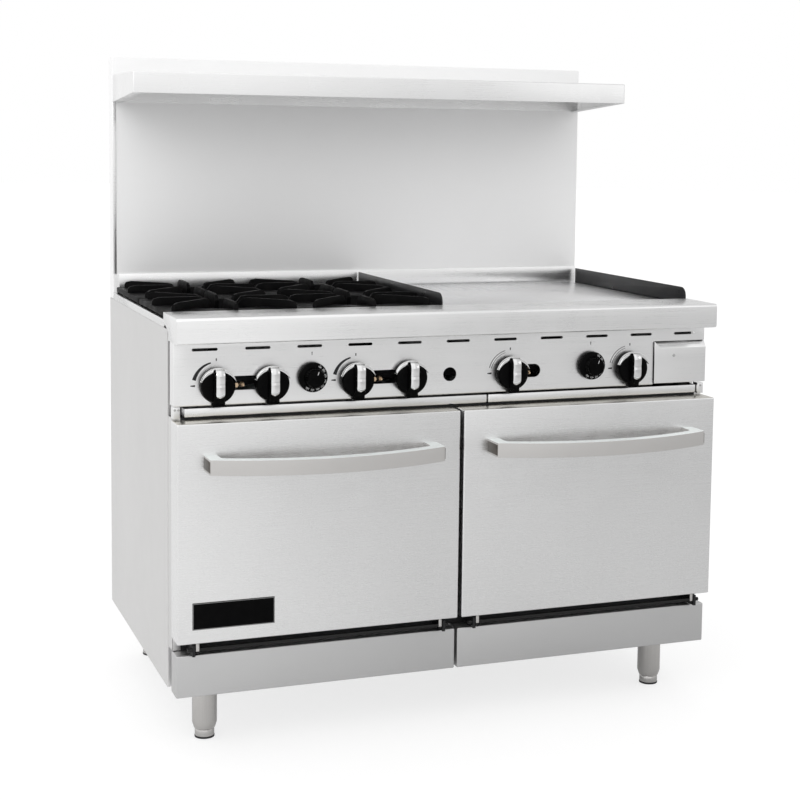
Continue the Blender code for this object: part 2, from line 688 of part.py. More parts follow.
def make_dial(place, x):
    """Oven thermostat dial."""
    turned("oven_dial_" + place, [
        (0.0, 0.034), (0.0170, 0.034), (0.0195, 0.031), (0.0205, 0.015), (0.0290, 0.013),
        (DIAL_RADIUS, 0.0050), (0.0085, 0.0050), (0.0085, -0.0180), (0.0, -0.0180)],
        BLACK_PLASTIC, (x, fwd(PANEL_FRONT), DIAL_Z), (math.pi / 2, 0, 0))


def make_manifold():
    """Gas pipe from the rear inlet to the front, with its valves, thermostats and oven supply tubes."""
    pipe = mesh_object("gas_manifold", tube([
        (0.455, MANIFOLD_DEPTH, MANIFOLD_Z), (INLET_X + 0.012, MANIFOLD_DEPTH, MANIFOLD_Z),
        (INLET_X, MANIFOLD_DEPTH - 0.012, MANIFOLD_Z), (INLET_X, 0.0, MANIFOLD_Z)], PIPE_RADIUS), BLACK_PIPE)
    valves = [block((x - 0.013, x + 0.013), (MANIFOLD_DEPTH + 0.004, 0.6990),
                    (MANIFOLD_Z - 0.011, MANIFOLD_Z + 0.010)) for x in KNOB_X + DIAL_X]
    thermostats = [block((x - 0.021, x + 0.021), (MANIFOLD_DEPTH + 0.017, 0.6995),
                         (MANIFOLD_Z - 0.022, MANIFOLD_Z + 0.026)) for x in DIAL_X]
    left = tube([(INLET_X, SUPPLY_DEPTH, MANIFOLD_Z), (-0.5940, SUPPLY_DEPTH, MANIFOLD_Z),
                 (-0.5940, SUPPLY_DEPTH, OVEN_BURNER_Z), (-0.5200, SUPPLY_DEPTH, OVEN_BURNER_Z)],
                SUPPLY_RADIUS, 1)
    right = tube([(0.448, MANIFOLD_DEPTH, MANIFOLD_Z), (0.448, MANIFOLD_DEPTH, 0.7155),
                  (0.5960, MANIFOLD_DEPTH, 0.7155), (0.5960, 0.640, 0.700),
                  (0.5960, SUPPLY_DEPTH, OVEN_BURNER_Z), (0.5200, SUPPLY_DEPTH, OVEN_BURNER_Z)],
                 SUPPLY_RADIUS, 1)
    fuse(pipe, valves + thermostats + [left, right])
    cut(pipe, [rod((INLET_X, fwd(-0.01), MANIFOLD_Z), (INLET_X, fwd(0.040), MANIFOLD_Z), PIPE_BORE)])


def make_trays():
    """Two crumb trays below the burners and griddle, and the grease drawer."""
    for place, x in TRAYS:
        folded_pan("crumb_tray_" + place, x, (TRAY_BACK, TRAY_FRONT), (TRAY_BOTTOM, TRAY_TOP), (0, 0, 1),
                   POLISHED, SHEET, (sum(x) / 2, fwd(TRAY_FRONT), TRAY_BOTTOM))
    front = block(DRAWER_X, (PANEL_FRONT + 0.001, PANEL_FRONT + 0.005), DRAWER_Z)
    drawer = folded_pan("grease_drawer", DRAWER_PAN_X, (DRAWER_BACK, PANEL_FRONT + 0.003), DRAWER_PAN_Z,
                        (0, 0, 1), BRUSHED, SHEET, (sum(DRAWER_PAN_X) / 2, fwd(PANEL_FRONT), DRAWER_PAN_Z[0]))
    fuse(drawer, [front])


# ---------------------------------------------------------------- backguard and shelf

def make_backguard():
    """Tall backguard, folded back at every edge and open behind."""
    folded_pan("backguard", (-HALF, HALF), (0.0, GUARD_FRONT), (SIDE_TOP + GAP, HEIGHT), (0, 1, 0), BRUSHED)


def make_shelf():
    """Folded shelf whose end brackets grow deeper towards the back."""
    bm = block((-HALF, HALF), (GUARD_FRONT + GAP, SHELF_FRONT), (SHELF_BOTTOM, SHELF_TOP))
    open_face(bm, (0, 0, -1))
    for vert in bm.verts:
        if vert.co.y > fwd(0.10) and vert.co.z < SHELF_BOTTOM + 0.001:
            vert.co.z -= SHELF_END_DROP
    thicken(mesh_object("high_shelf", bm, POLISHED), SHEET)


def build():
    for row, depth in (("front", LEG_FRONT_DEPTH), ("rear", LEG_REAR_DEPTH)):
        for place, x in (("left", -LEG_X), ("right", LEG_X)):
            make_leg(row + "_" + place, x, depth)
    make_base()
    make_sides()
    make_rear_panel()
    make_kicks()
    make_front_frame()
    for place, side in (("left", -1), ("right", 1)):
        make_oven(place, side)
        make_door(place, side)
    make_cooktop_frame()
    make_front_rail()
    for row, depth in zip(("rear", "front"), GRATE_CENTRES_D):
        for place, x in zip(("left", "right"), GRATE_CENTRES_X):
            lean = 0.045 if row == "rear" else -0.030
            make_burner(row + "_" + place, x, depth, lean)
            make_grate(row + "_" + place, x, depth)
    make_griddle()
    make_control_panel()
    for number, x in enumerate(KNOB_X, start=1):
        make_knob(number, x)
    for place, x in zip(("left", "right"), DIAL_X):
        make_dial(place, x)
    make_manifold()
    make_trays()
    make_backguard()
    make_shelf()


build()
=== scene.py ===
import json
import math

import bmesh
import bpy
from mathutils import Matrix, Vector

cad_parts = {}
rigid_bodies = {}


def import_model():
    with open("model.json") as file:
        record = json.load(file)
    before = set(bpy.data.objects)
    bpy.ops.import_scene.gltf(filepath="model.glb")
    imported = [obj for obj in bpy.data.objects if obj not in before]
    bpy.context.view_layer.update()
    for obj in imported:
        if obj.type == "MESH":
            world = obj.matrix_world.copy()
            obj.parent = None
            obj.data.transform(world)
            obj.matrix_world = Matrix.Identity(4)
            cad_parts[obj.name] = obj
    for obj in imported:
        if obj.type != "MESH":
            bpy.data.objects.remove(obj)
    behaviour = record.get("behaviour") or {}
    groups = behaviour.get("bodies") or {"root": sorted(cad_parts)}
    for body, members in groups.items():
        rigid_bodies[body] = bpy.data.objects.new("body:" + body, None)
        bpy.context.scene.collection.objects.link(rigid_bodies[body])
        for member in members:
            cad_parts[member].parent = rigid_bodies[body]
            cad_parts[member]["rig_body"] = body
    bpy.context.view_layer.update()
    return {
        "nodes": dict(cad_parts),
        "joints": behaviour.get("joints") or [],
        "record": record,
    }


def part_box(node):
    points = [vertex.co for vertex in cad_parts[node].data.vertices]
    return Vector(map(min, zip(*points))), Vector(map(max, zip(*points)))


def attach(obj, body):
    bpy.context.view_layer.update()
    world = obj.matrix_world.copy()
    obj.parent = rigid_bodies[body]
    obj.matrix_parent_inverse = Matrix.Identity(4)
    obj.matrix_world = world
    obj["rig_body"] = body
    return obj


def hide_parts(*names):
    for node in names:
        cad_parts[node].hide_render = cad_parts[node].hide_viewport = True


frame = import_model()
NODES = frame["nodes"]

SHEET = 0.0012
SIDES = (("left", -1), ("right", 1))
PLACES = [place for place, _ in SIDES]
CORNERS = [(row, place) for row in ("front", "rear") for place in PLACES]
CUTTERS = []


# ---------------------------------------------------------------- node materials

MIX_FIRST, MIX_SECOND, MIX_RESULT = 6, 7, 2     # the colour sockets of a Mix node


class Tree:
    """A node tree, and the few patterns that the finishes and the studio share."""

    def __init__(self, tree):
        self.tree = tree

    def feed(self, source, node, socket):
        """Links a socket to a node's input, or sets the input to a constant."""
        if isinstance(source, bpy.types.NodeSocket):
            self.tree.links.new(source, node.inputs[socket])
        else:
            node.inputs[socket].default_value = source

    def add(self, kind, **inputs):
        """A new node; an input's name has underscores for its spaces."""
        node = self.tree.nodes.new("ShaderNode" + kind)
        for socket, source in inputs.items():
            self.feed(source, node, socket.replace("_", " "))
        return node

    def spread(self, source, low, high, start=0.3, end=0.7, interpolation="LINEAR"):
        """Maps a pattern's middle range to the range from low to high."""
        node = self.add("MapRange", Value=source, From_Min=start, From_Max=end, To_Min=low, To_Max=high)
        node.interpolation_type = interpolation
        return node.outputs["Result"]

    def maths(self, operation, first, second):
        node = self.add("Math")
        node.operation = operation
        self.feed(first, node, 0)
        self.feed(second, node, 1)
        return node.outputs[0]

    def grey(self, value):
        return self.add("CombineColor", Red=value, Green=value, Blue=value).outputs["Color"]


class Finish(Tree):
    """A Principled material and the patterns that vary it."""

    def __init__(self, name, colour, roughness, metallic, **constants):
        self.material = bpy.data.materials.new(name)
        self.material.use_nodes = True
        super().__init__(self.material.node_tree)
        self.shader = self.tree.nodes["Principled BSDF"]
        self.colour = (*colour, 1.0)
        constants.update(Base_Color=self.colour, Roughness=roughness, Metallic=metallic)
        for socket, value in constants.items():
            self.feed(value, self.shader, socket.replace("_", " "))
        self.place = self.add("TexCoord").outputs["Object"]
        self.height = None

    def noise(self, scale, detail=3.0, stretch=(1.0, 1.0, 1.0)):
        mapping = self.add("Mapping", Vector=self.place, Scale=stretch)
        noise = self.add("TexNoise", Vector=mapping.outputs["Vector"], Scale=scale, Detail=detail,
                         Roughness=0.55)
        return noise.outputs["Fac"]

    def recolour(self, factor, first, second, blend_type="MIX"):
        """Sets the base colour to a mix of two colours."""
        node = self.add("Mix")
        node.data_type = "RGBA"
        node.blend_type = blend_type
        for socket, source in (("Factor", factor), (MIX_FIRST, first), (MIX_SECOND, second)):
            self.feed(source, node, socket)
        self.feed(node.outputs[MIX_RESULT], self.shader, "Base Color")

    def tint(self, factor):
        """Multiplies the base colour by a pattern."""
        self.recolour(1.0, self.colour, self.grey(factor), "MULTIPLY")

    def blend_colour(self, factor, other):
        """Mixes the base colour with another one by a pattern."""
        self.recolour(factor, self.colour, (*other, 1.0))

    def tint_top(self, colour):
        """Paints light on the faces that look up in the piece's own space by giving them another colour: a
        painted shade where it is darker, a painted highlight where it is lighter.
        """
        parts = self.add("SeparateXYZ", Vector=self.add("TexCoord").outputs["Normal"])
        below = self.shader.inputs["Base Color"].links[0].from_socket
        self.recolour(self.spread(parts.outputs["Z"], 0.0, 1.0, 0.6, 0.95), below, (*colour, 1.0))

    def roughen(self, factor):
        self.feed(factor, self.shader, "Roughness")

    def bump(self, source, distance, strength=1.0):
        node = self.add("Bump", Strength=strength, Distance=distance, Height=source)
        if self.height:
            self.feed(self.height, node, "Normal")
        self.height = node.outputs["Normal"]
        self.feed(self.height, self.shader, "Normal")


def steel(name, tone, roughness, along="x", grain=0.02, smudge=0.025, wave=0.0006, warmth=0.0,
          metallic=1.0, top=None):
    """Sheet steel: fine brush lines along one axis, faint cleaning smudges and a slight sheet wave; a given
    top colour is painted light on its upward faces.
    """
    colour = (tone + warmth, tone, tone - warmth)
    mat = Finish(name, colour, roughness, metallic)
    stretch = {"x": (2.0, 500.0, 500.0), "y": (500.0, 2.0, 500.0), "z": (500.0, 500.0, 2.0),
               "none": (200.0, 200.0, 200.0)}[along]
    lines = mat.noise(3.0, 2.0, stretch)
    clouds = mat.noise(3.2, 3.0)
    patches = mat.noise(17.0, 4.0)
    mat.tint(mat.maths("MULTIPLY", mat.spread(lines, 1.0 - grain, 1.0 + grain),
                       mat.spread(clouds, 1.0 - smudge, 1.0 + smudge)))
    # painted light: another colour on the upward faces, for shade or highlight that falls there
    if top:
        mat.tint_top(top)
    mat.roughen(mat.maths("ADD", mat.spread(lines, roughness - 0.05, roughness + 0.05),
                          mat.spread(patches, -0.03, 0.04)))
    mat.bump(clouds, wave)
    mat.bump(lines, 0.00002, 0.5)
    return mat.material


def cast_iron(name, tone=0.012):
    """Seasoned cast iron: sand-cast grain, dull oily sheen and a few rubbed patches."""
    mat = Finish(name, (tone, tone, tone * 1.06), 0.5, 0.0, Specular_IOR_Level=0.035)
    grain = mat.noise(900.0, 3.0)
    pits = mat.noise(260.0, 2.0)
    patches = mat.noise(28.0, 4.0)
    mat.blend_colour(mat.spread(patches, 0.0, 1.0, 0.45, 0.75), (tone * 2.4, tone * 2.3, tone * 2.3))
    mat.roughen(mat.spread(patches, 0.36, 0.62))
    mat.bump(pits, 0.0006, 0.6)
    mat.bump(grain, 0.00015, 0.6)
    return mat.material


def plastic(name, tone, roughness):
    """Moulded phenolic: fine mould texture, slight gloss variation from handling."""
    mat = Finish(name, (tone, tone, tone * 1.05), roughness, 0.0, Specular_IOR_Level=0.035)
    fine = mat.noise(1400.0, 2.0)
    wear = mat.noise(60.0, 3.0)
    mat.tint(mat.spread(wear, 0.8, 1.3))
    mat.roughen(mat.spread(wear, roughness - 0.07, roughness + 0.09))
    mat.bump(fine, 0.00004, 0.5)
    return mat.material


def enamel(name, colour, roughness=0.3):
    """Baked enamel or powder paint with a faint orange-peel surface."""
    mat = Finish(name, colour, roughness, 0.0, Specular_IOR_Level=0.25)
    peel = mat.noise(420.0, 2.0)
    clouds = mat.noise(9.0, 3.0)
    mat.tint(mat.spread(clouds, 0.85, 1.15))
    mat.roughen(mat.spread(clouds, roughness - 0.05, roughness + 0.08))
    mat.bump(peel, 0.00008, 0.5)
    return mat.material


def coated_steel(name, tone, roughness, spangle):
    """Zinc or aluminium coated sheet with crystal spangles of a given size per metre."""
    mat = Finish(name, (tone, tone * 1.01, tone * 1.02), roughness, 1.0)
    cells = mat.add("TexVoronoi", Vector=mat.place, Scale=spangle)
    grey = mat.add("SeparateColor", Color=cells.outputs["Color"])
    clouds = mat.noise(5.0, 3.0)
    mat.tint(mat.maths("MULTIPLY", mat.spread(grey.outputs["Red"], 0.93, 1.07, 0.0, 1.0),
                       mat.spread(clouds, 0.94, 1.06)))
    mat.roughen(mat.spread(grey.outputs["Green"], roughness - 0.07, roughness + 0.07, 0.0, 1.0))
    mat.bump(clouds, 0.0005)
    return mat.material


def griddle_finish(name):
    """Ground griddle plate: fine grinding lines front to back and faint heat-tinted patches."""
    mat = Finish(name, (0.86, 0.86, 0.87), 0.3, 1.0)
    lines = mat.noise(3.0, 4.0, (240.0, 2.0, 240.0))
    patches = mat.noise(6.0, 4.0)
    mat.blend_colour(mat.spread(patches, 0.0, 1.0, 0.4, 0.8), (0.80, 0.795, 0.79))
    mat.roughen(mat.maths("ADD", mat.spread(lines, 0.24, 0.34), mat.spread(patches, -0.03, 0.05)))
    mat.bump(lines, 0.00002, 0.5)
    return mat.material


BRUSHED = steel("brushed_steel", 0.80, 0.27, grain=0.012, smudge=0.015)
# Door steel whose upward faces get a darker colour: painted shade for the dark gap the door tops mirror.
DOOR_STEEL_SHADED_TOP = steel("door_steel_painted_top_shade", 0.80, 0.27, grain=0.012, smudge=0.015, top=(0.62, 0.60, 0.55))
SIDE_STEEL = steel("side_steel", 0.70, 0.42, "z", grain=0.012, smudge=0.012, warmth=0.004)
GUARD_STEEL = steel("guard_steel", 0.93, 0.60, "x", grain=0.006, smudge=0.006, wave=0.0002, metallic=0.15)
PANEL_STEEL = steel("panel_steel", 0.85, 0.32, "x", grain=0.012, smudge=0.02)
# Darker copy of the sheet steel for the kick plates: painted shade for the shaded floor they mirror low down.
KICK_STEEL_SHADED = steel("kick_steel_painted_shade", 0.57, 0.42, "x", grain=0.012, smudge=0.012, wave=0.0003)
SHELF_STEEL = steel("shelf_steel", 0.87, 0.30, "x", grain=0.012)
LEG_STEEL = steel("leg_steel", 0.56, 0.13, "z", grain=0.07, warmth=0.014)
TURNED_STEEL = steel("turned_steel", 0.56, 0.18, "none", grain=0.05, warmth=0.012)
SCREW_STEEL = steel("screw_steel", 0.55, 0.3, "none", grain=0.05)
# Satin handle metal whose upward faces are painted lighter: a painted highlight along the top of the grip.
HANDLE_METAL_LIT_TOP = steel("handle_satin_painted_top_highlight", 0.545, 0.40, "x", grain=0.012, smudge=0.015, warmth=0.012, metallic=0.6,
                     top=(0.93, 0.97, 0.96))
# Dark steel for the grip's end faces: its darkness is painted shade, the dim reflection those faces show.
HANDLE_END_SHADE = steel("handle_end_painted_shade", 0.11, 0.40, "z", grain=0.03, warmth=0.012)
ROD_STEEL = steel("black_oxide_steel", 0.03, 0.45, "x", grain=0.05)
CHROME = steel("chrome_plate", 0.80, 0.08, "none", grain=0.01, smudge=0.05, wave=0.003)
CHROME_WIRE = steel("chrome_wire", 0.70, 0.2, "none", grain=0.03)
GALVANISED = coated_steel("galvanised_sheet", 0.60, 0.42, 70.0)
ALUMINISED = coated_steel("aluminised_sheet", 0.50, 0.48, 300.0)
CAST_IRON = cast_iron("grate_iron", 0.004)
BURNER_IRON = cast_iron("burner_iron", 0.008)
GRIDDLE = griddle_finish("griddle_ground")
BLACK_ENAMEL = enamel("black_enamel", (0.012, 0.012, 0.013))
# Black for the front frame: painted shade, so that the gaps round the doors read dark.
FRAME_BLACK_SHADE = enamel("frame_black_painted_shade", (0.012, 0.012, 0.013), 0.45)
MARK_BLACK = enamel("mark_black", (0.02, 0.02, 0.022), 0.5)
MARK_WHITE = enamel("mark_white", (0.72, 0.72, 0.72), 0.5)
KNOB_BLACK = plastic("knob_black", 0.002, 0.28)
PIPE_BLACK = enamel("pipe_black", (0.03, 0.03, 0.032), 0.5)
BRASS = steel("brass", 0.5, 0.3, "none", grain=0.05, warmth=0.16)
PLATE_BLACK = plastic("plate_black", 0.002, 0.35)
RULE_GREY = enamel("rule_grey", (0.22, 0.22, 0.22), 0.5)


# ---------------------------------------------------------------- shapes

def block(low, high):
    bm = bmesh.new()
    bmesh.ops.create_cube(bm, size=1.0)
    low, high = Vector(low), Vector(high)
    bmesh.ops.scale(bm, vec=high - low, verts=bm.verts)
    bmesh.ops.translate(bm, vec=(low + high) / 2, verts=bm.verts)
    return bm


def as_bmesh(mesh):
    bm = bmesh.new()
    bm.from_mesh(mesh)
    return bm


def new_object(name, data):
    obj = bpy.data.objects.new(name, data)
    bpy.context.scene.collection.objects.link(obj)
    return obj


def rounded(bm, radius, segments=3, keep=None):
    """Rounds every edge between two faces, or those that the test picks."""
    edges = [e for e in bm.edges if len(e.link_faces) == 2 and (keep is None or keep(e))]
    bmesh.ops.bevel(bm, geom=edges, offset=radius, segments=segments, profile=0.5, affect="EDGES",
                    clamp_overlap=True)
    return bm


def without(bm, *directions):
    """Takes away the faces that point most nearly in the given directions."""
    for direction in directions:
        face = max(bm.faces, key=lambda f: f.normal.dot(Vector(direction)))
        bmesh.ops.delete(bm, geom=[face], context="FACES")
    return bm


def merged(shapes):
    out = bmesh.new()
    for shape in shapes:
        mesh = bpy.data.meshes.new("shape")
        shape.to_mesh(mesh)
        shape.free()
        out.from_mesh(mesh)
        bpy.data.meshes.remove(mesh)
    return out


def moved(bm, matrix):
    bmesh.ops.transform(bm, matrix=matrix, verts=bm.verts)
    return bm


def turned(profile, steps=48, closed=False):
    """A turned form about Z from (radius, height) points."""
    bm = bmesh.new()
    verts = [bm.verts.new((radius, 0.0, height)) for radius, height in profile]
    pairs = zip(verts, verts[1:] + (verts[:1] if closed else []))
    geom = verts + [bm.edges.new(pair) for pair in pairs]
    bmesh.ops.spin(bm, geom=geom, cent=(0, 0, 0), axis=(0, 0, 1), angle=math.tau, steps=steps, use_merge=True)
    bmesh.ops.remove_doubles(bm, verts=bm.verts, dist=1e-6)
    bmesh.ops.recalc_face_normals(bm, faces=bm.faces)
    return bm


def facing_front(centre):
    """Turns a form about Z so that its axis points out of the front, at the given place."""
    return Matrix.Translation(Vector(centre)) @ Matrix.Rotation(math.pi / 2, 4, "X")


def facing_back(centre):
    return Matrix.Translation(Vector(centre)) @ Matrix.Rotation(-math.pi / 2, 4, "X")


def curve_form(curve):
    obj = new_object("curve", curve)
    bpy.context.view_layer.update()
    mesh = bpy.data.meshes.new_from_object(obj.evaluated_get(bpy.context.evaluated_depsgraph_get()))
    bm = as_bmesh(mesh)
    bmesh.ops.remove_doubles(bm, verts=bm.verts, dist=1e-6)
    bpy.data.meshes.remove(mesh)
    bpy.data.objects.remove(obj, do_unlink=True)
    return bm


def rod_along(points, radius, closed=False, resolution=4):
    curve = bpy.data.curves.new("rod", "CURVE")
    curve.dimensions = "3D"
    curve.bevel_depth = radius
    curve.bevel_resolution = resolution
    curve.use_fill_caps = not closed
    spline = curve.splines.new("POLY")
    spline.points.add(len(points) - 1)
    spline.use_cyclic_u = closed
    for point, place in zip(spline.points, points):
        point.co = (*place, 1.0)
    return curve_form(curve)


def bend(before, here, after, reach_back, reach_on, steps=5):
    """The points of a rounded corner, from a reach before it to a reach after it."""
    start = here + (before - here).normalized() * reach_back
    end = here + (after - here).normalized() * reach_on
    return [start * (1 - t) ** 2 + here * 2 * t * (1 - t) + end * t ** 2
            for t in (step / steps for step in range(steps + 1))]


def softened(points, radius, steps=5, closed=False):
    """The same path with its corners rounded."""
    points = [Vector(p) for p in points]
    out = []
    count = len(points)
    for i, here in enumerate(points):
        if not closed and i in (0, count - 1):
            out.append(here)
            continue
        before, after = points[i - 1], points[(i + 1) % count]
        reach = min(radius, (before - here).length * 0.45, (after - here).length * 0.45)
        out += bend(before, here, after, reach, reach, steps)
    return out


def rectangle(x0, x1, y0, y1):
    return [(x0, y0), (x1, y0), (x1, y1), (x0, y1)]


def flat(loops, thickness, bevel=0.0):
    """A flat form in the XY plane, from an outline and its holes, centred on Z = 0."""
    curve = bpy.data.curves.new("flat", "CURVE")
    curve.dimensions = "2D"
    curve.fill_mode = "BOTH"
    curve.extrude = thickness / 2 - bevel
    curve.bevel_depth = bevel
    curve.bevel_resolution = 2
    curve.offset = -bevel
    for loop in loops:
        spline = curve.splines.new("POLY")
        spline.points.add(len(loop) - 1)
        spline.use_cyclic_u = True
        for point, place in zip(spline.points, loop):
            point.co = (place[0], place[1], 0.0, 1.0)
    return curve_form(curve)


def ring(x, y, radius, steps=48, start=0.0, sweep=math.tau):
    count = steps if abs(sweep - math.tau) < 1e-6 else steps + 1
    angles = [start + sweep * i / steps for i in range(count)]
    return [(x + radius * math.cos(angle), y + radius * math.sin(angle)) for angle in angles]


def slot_outline(x0, x1, y0, y1, steps=8):
    """A slot with round ends."""
    radius = (y1 - y0) / 2
    middle = (y0 + y1) / 2
    return (ring(x1 - radius, middle, radius, steps, -math.pi / 2, math.pi)
            + ring(x0 + radius, middle, radius, steps, math.pi / 2, math.pi))


UPRIGHT = Matrix.Rotation(math.pi / 2, 4, "X")      # XY outline to the XZ plane, top up


# ---------------------------------------------------------------- pieces

def finished(bm, modifiers=(), sharp=35.0):
    """A mesh with its modifiers applied and smooth shading between sharp edges."""
    mesh = bpy.data.meshes.new("work")
    bm.to_mesh(mesh)
    bm.free()
    obj = new_object("work", mesh)
    for kind, settings in modifiers:
        modifier = obj.modifiers.new(kind.lower(), kind)
        for key, value in settings.items():
            setattr(modifier, key, value)
    if modifiers:
        bpy.context.view_layer.update()
        evaluated = obj.evaluated_get(bpy.context.evaluated_depsgraph_get())
        mesh = bpy.data.meshes.new_from_object(evaluated)
    bpy.data.objects.remove(obj, do_unlink=True)
    mesh.shade_smooth()
    mesh.set_sharp_from_angle(angle=math.radians(sharp))
    return mesh


def sheet(wall=SHEET, offset=-1.0):
    return ("SOLIDIFY", {"thickness": wall, "offset": offset, "use_even_offset": True})


def bevelled(width, segments=2, angle=40.0):
    return ("BEVEL", {"width": width, "segments": segments, "limit_method": "ANGLE",
                      "angle_limit": math.radians(angle), "harden_normals": False})


def minus(shapes):
    """A cut by several shapes that don't overlap each other."""
    mesh = bpy.data.meshes.new("cutter")
    bm = merged(shapes)
    bm.to_mesh(mesh)
    bm.free()
    cutter = new_object("cutter", mesh)
    CUTTERS.append(cutter)
    return ("BOOLEAN", {"operation": "DIFFERENCE", "solver": "EXACT", "object": cutter})
def piece(name, shape, material, body, replaces=(), modifiers=(), sharp=35.0):
    """A finished piece that rides on a body; shape is a bmesh or a finished mesh."""
    mesh = finished(shape, modifiers, sharp) if isinstance(shape, bmesh.types.BMesh) else shape
    mesh.materials.clear()
    mesh.materials.append(material)
    obj = new_object(name, mesh)
    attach(obj, body)
    if replaces:
        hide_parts(*replaces)
    for cutter in CUTTERS:
        bpy.data.objects.remove(cutter, do_unlink=True)
    CUTTERS.clear()
    return obj


def folded(low, high, openings, radius, wall=SHEET, segments=3):
    """A folded sheet box with rounded bends and one or more open sides."""
    return rounded(without(block(low, high), *openings), radius, segments), (sheet(wall),)


def keep(node, material, bevel=0.0):
    """A CAD node's own shape as a new piece with softened edges."""
    bm = as_bmesh(NODES[node].data)
    bmesh.ops.remove_doubles(bm, verts=bm.verts, dist=1e-6)
    bmesh.ops.dissolve_limit(bm, angle_limit=math.radians(0.5), verts=bm.verts, edges=bm.edges)
    modifiers = (bevelled(bevel),) if bevel else ()
    piece(node + "_shape", bm, material, NODES[node]["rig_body"], (node,), modifiers)
def screw(radius=0.0035, height=0.0018):
    """A pan head, standing on Z = 0."""
    return turned([(0.0, 0.0), (radius, 0.0), (radius, height * 0.35), (radius * 0.86, height * 0.8),
                   (radius * 0.5, height), (0.0, height)], 24)


def screws(name, places, orient, body="range_body", radius=0.0035):
    """One piece of several slotted screws; orient places a form that stands on Z = 0."""
    heads = []
    for place in places:
        slot = block((-radius * 0.62, -radius * 0.12, radius * 0.2), (radius * 0.62, radius * 0.12, radius))
        head = as_bmesh(finished(screw(radius), (minus([slot]),)))
        heads.append(moved(head, orient(place)))
    piece(name, merged(heads), SCREW_STEEL, body)


# ---------------------------------------------------------------- body panels

def corners(node):
    low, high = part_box(node)
    return Vector(low), Vector(high)


def make_sides():
    """Side panels with rounded folds along the front and back edges."""
    for place, side in SIDES:
        low, high = corners("side_panel_" + place)
        outer, inner = (low.x, high.x) if side < 0 else (high.x, low.x)
        bm = bmesh.new()
        outline = [(inner, low.y), (outer, low.y), (outer, high.y), (inner, high.y)]
        foot = [bm.verts.new((x, y, low.z)) for x, y in outline]
        head = [bm.verts.new((x, y, high.z)) for x, y in outline]
        for i in range(3):
            corner = (foot[i], foot[i + 1], head[i + 1], head[i])
            bm.faces.new(corner if side > 0 else corner[::-1])
        rounded(bm, 0.0022)
        piece("side_sheet_" + place, bm, SIDE_STEEL, "range_body",
              ("side_panel_" + place,), (sheet(),))


def make_base():
    keep("base_frame", GALVANISED, 0.0012)
    low, high = corners("rear_panel")
    back = high.y + 0.0001
    places = [(x, back, z) for x in (low.x + 0.012, -0.3, 0.0, 0.3, high.x - 0.012)
              for z in (low.z + 0.014, high.z - 0.014)]
    places += [(x, back, z) for x in (low.x + 0.012, high.x - 0.012) for z in (0.32, 0.50, 0.68)]
    screws("rear_panel_screws", places, facing_back)
    keep("rear_panel", GALVANISED)
    ribs = []
    for x in (-0.30, 0.30):
        for z in (0.30, 0.40, 0.50):
            rib = flat([slot_outline(x - 0.17, x + 0.17, -0.008, 0.008, 10)], 0.0016, 0.0006)
            ribs.append(moved(rib, Matrix.Translation((0, back, z)) @ UPRIGHT))
    piece("rear_panel_ribs", merged(ribs), GALVANISED, "range_body")


def make_kicks():
    for place in PLACES:
        low, high = corners("kick_panel_" + place)
        shape, walls = folded(low, high, [(0, 1, 0)], 0.0024)
        piece("kick_cover_" + place, shape, KICK_STEEL_SHADED, "range_body",
              ("kick_panel_" + place,), walls)


def make_cooktop_frame():
    keep("cooktop_frame", BRUSHED, 0.0010)


def make_front_rail():
    """Hollow bull-nosed rail along the front edge, with closed ends."""
    low, high = corners("front_rail")
    inset = 0.048
    lift = 0.0175
    profile = [(high.y, high.z - 0.017), (high.y - inset, low.z + lift), (high.y - inset, low.z),
               (low.y, low.z), (low.y, high.z), (high.y, high.z)]
    bm = bmesh.new()
    bm.faces.new([bm.verts.new((low.x, y, z)) for y, z in profile])
    run = bmesh.ops.extrude_face_region(bm, geom=list(bm.faces))
    far = [item for item in run["geom"] if isinstance(item, bmesh.types.BMVert)]
    bmesh.ops.translate(bm, vec=(high.x - low.x, 0, 0), verts=far)
    bmesh.ops.recalc_face_normals(bm, faces=bm.faces)
    behind = [f for f in bm.faces if f.normal.y > 0.3 and f.calc_center_median().z < high.z - 0.02]
    bmesh.ops.delete(bm, geom=behind, context="FACES_ONLY")
    bmesh.ops.delete(bm, geom=[e for e in bm.edges if not e.link_faces], context="EDGES")

    def nose(edge):
        return (all(abs(v.co.y - low.y) < 1e-6 for v in edge.verts)
                and abs(edge.verts[0].co.z - edge.verts[1].co.z) < 1e-6)

    rounded(bm, 0.0060, 6, nose)
    piece("front_rail_sheet", bm, SHELF_STEEL, "range_body", ("front_rail",),
          (sheet(), bevelled(0.0007, 2)))


def make_front_frame():
    """Black frame round the oven mouths with its hinge ears, and a rope gasket round each mouth; the frame's
    black is painted shade for the gaps round the doors.
    """
    keep("front_frame", FRAME_BLACK_SHADE, 0.0008)
    low, high = corners("front_frame")
    bottom, top = low.z + 0.001, high.z + 0.0005
    cover_front = low.y + 0.0565
    fold_front, fold_back = low.y + 0.0550, low.y + 0.0559
    for place, side in SIDES:
        near, far = sorted((side * (high.x + 0.0002), side * (high.x + 0.0014)))
        cover = rounded(block((near, cover_front, bottom), (far, high.y, top)), 0.0004, 2)
        near, far = sorted((side * (high.x + 0.0002), side * (high.x - 0.0160)))
        fold = rounded(block((near, fold_front, bottom), (far, fold_back, top)), 0.0003, 2)
        piece("frame_side_" + place, merged([cover, fold]), SIDE_STEEL, "range_body")
    for place in PLACES:
        low, high = corners("oven_liner_" + place)
        edge = 0.006
        loop = rectangle(low.x - edge, high.x + edge, low.z - edge, high.z + edge)
        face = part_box("door_liner_" + place)[1].y
        path = softened([(x, face + 0.0008, z) for x, z in loop], 0.02, closed=True)
        piece("oven_gasket_" + place, rod_along(path, 0.0009, closed=True, resolution=3), MARK_BLACK,
              "range_body")


# ---------------------------------------------------------------- legs

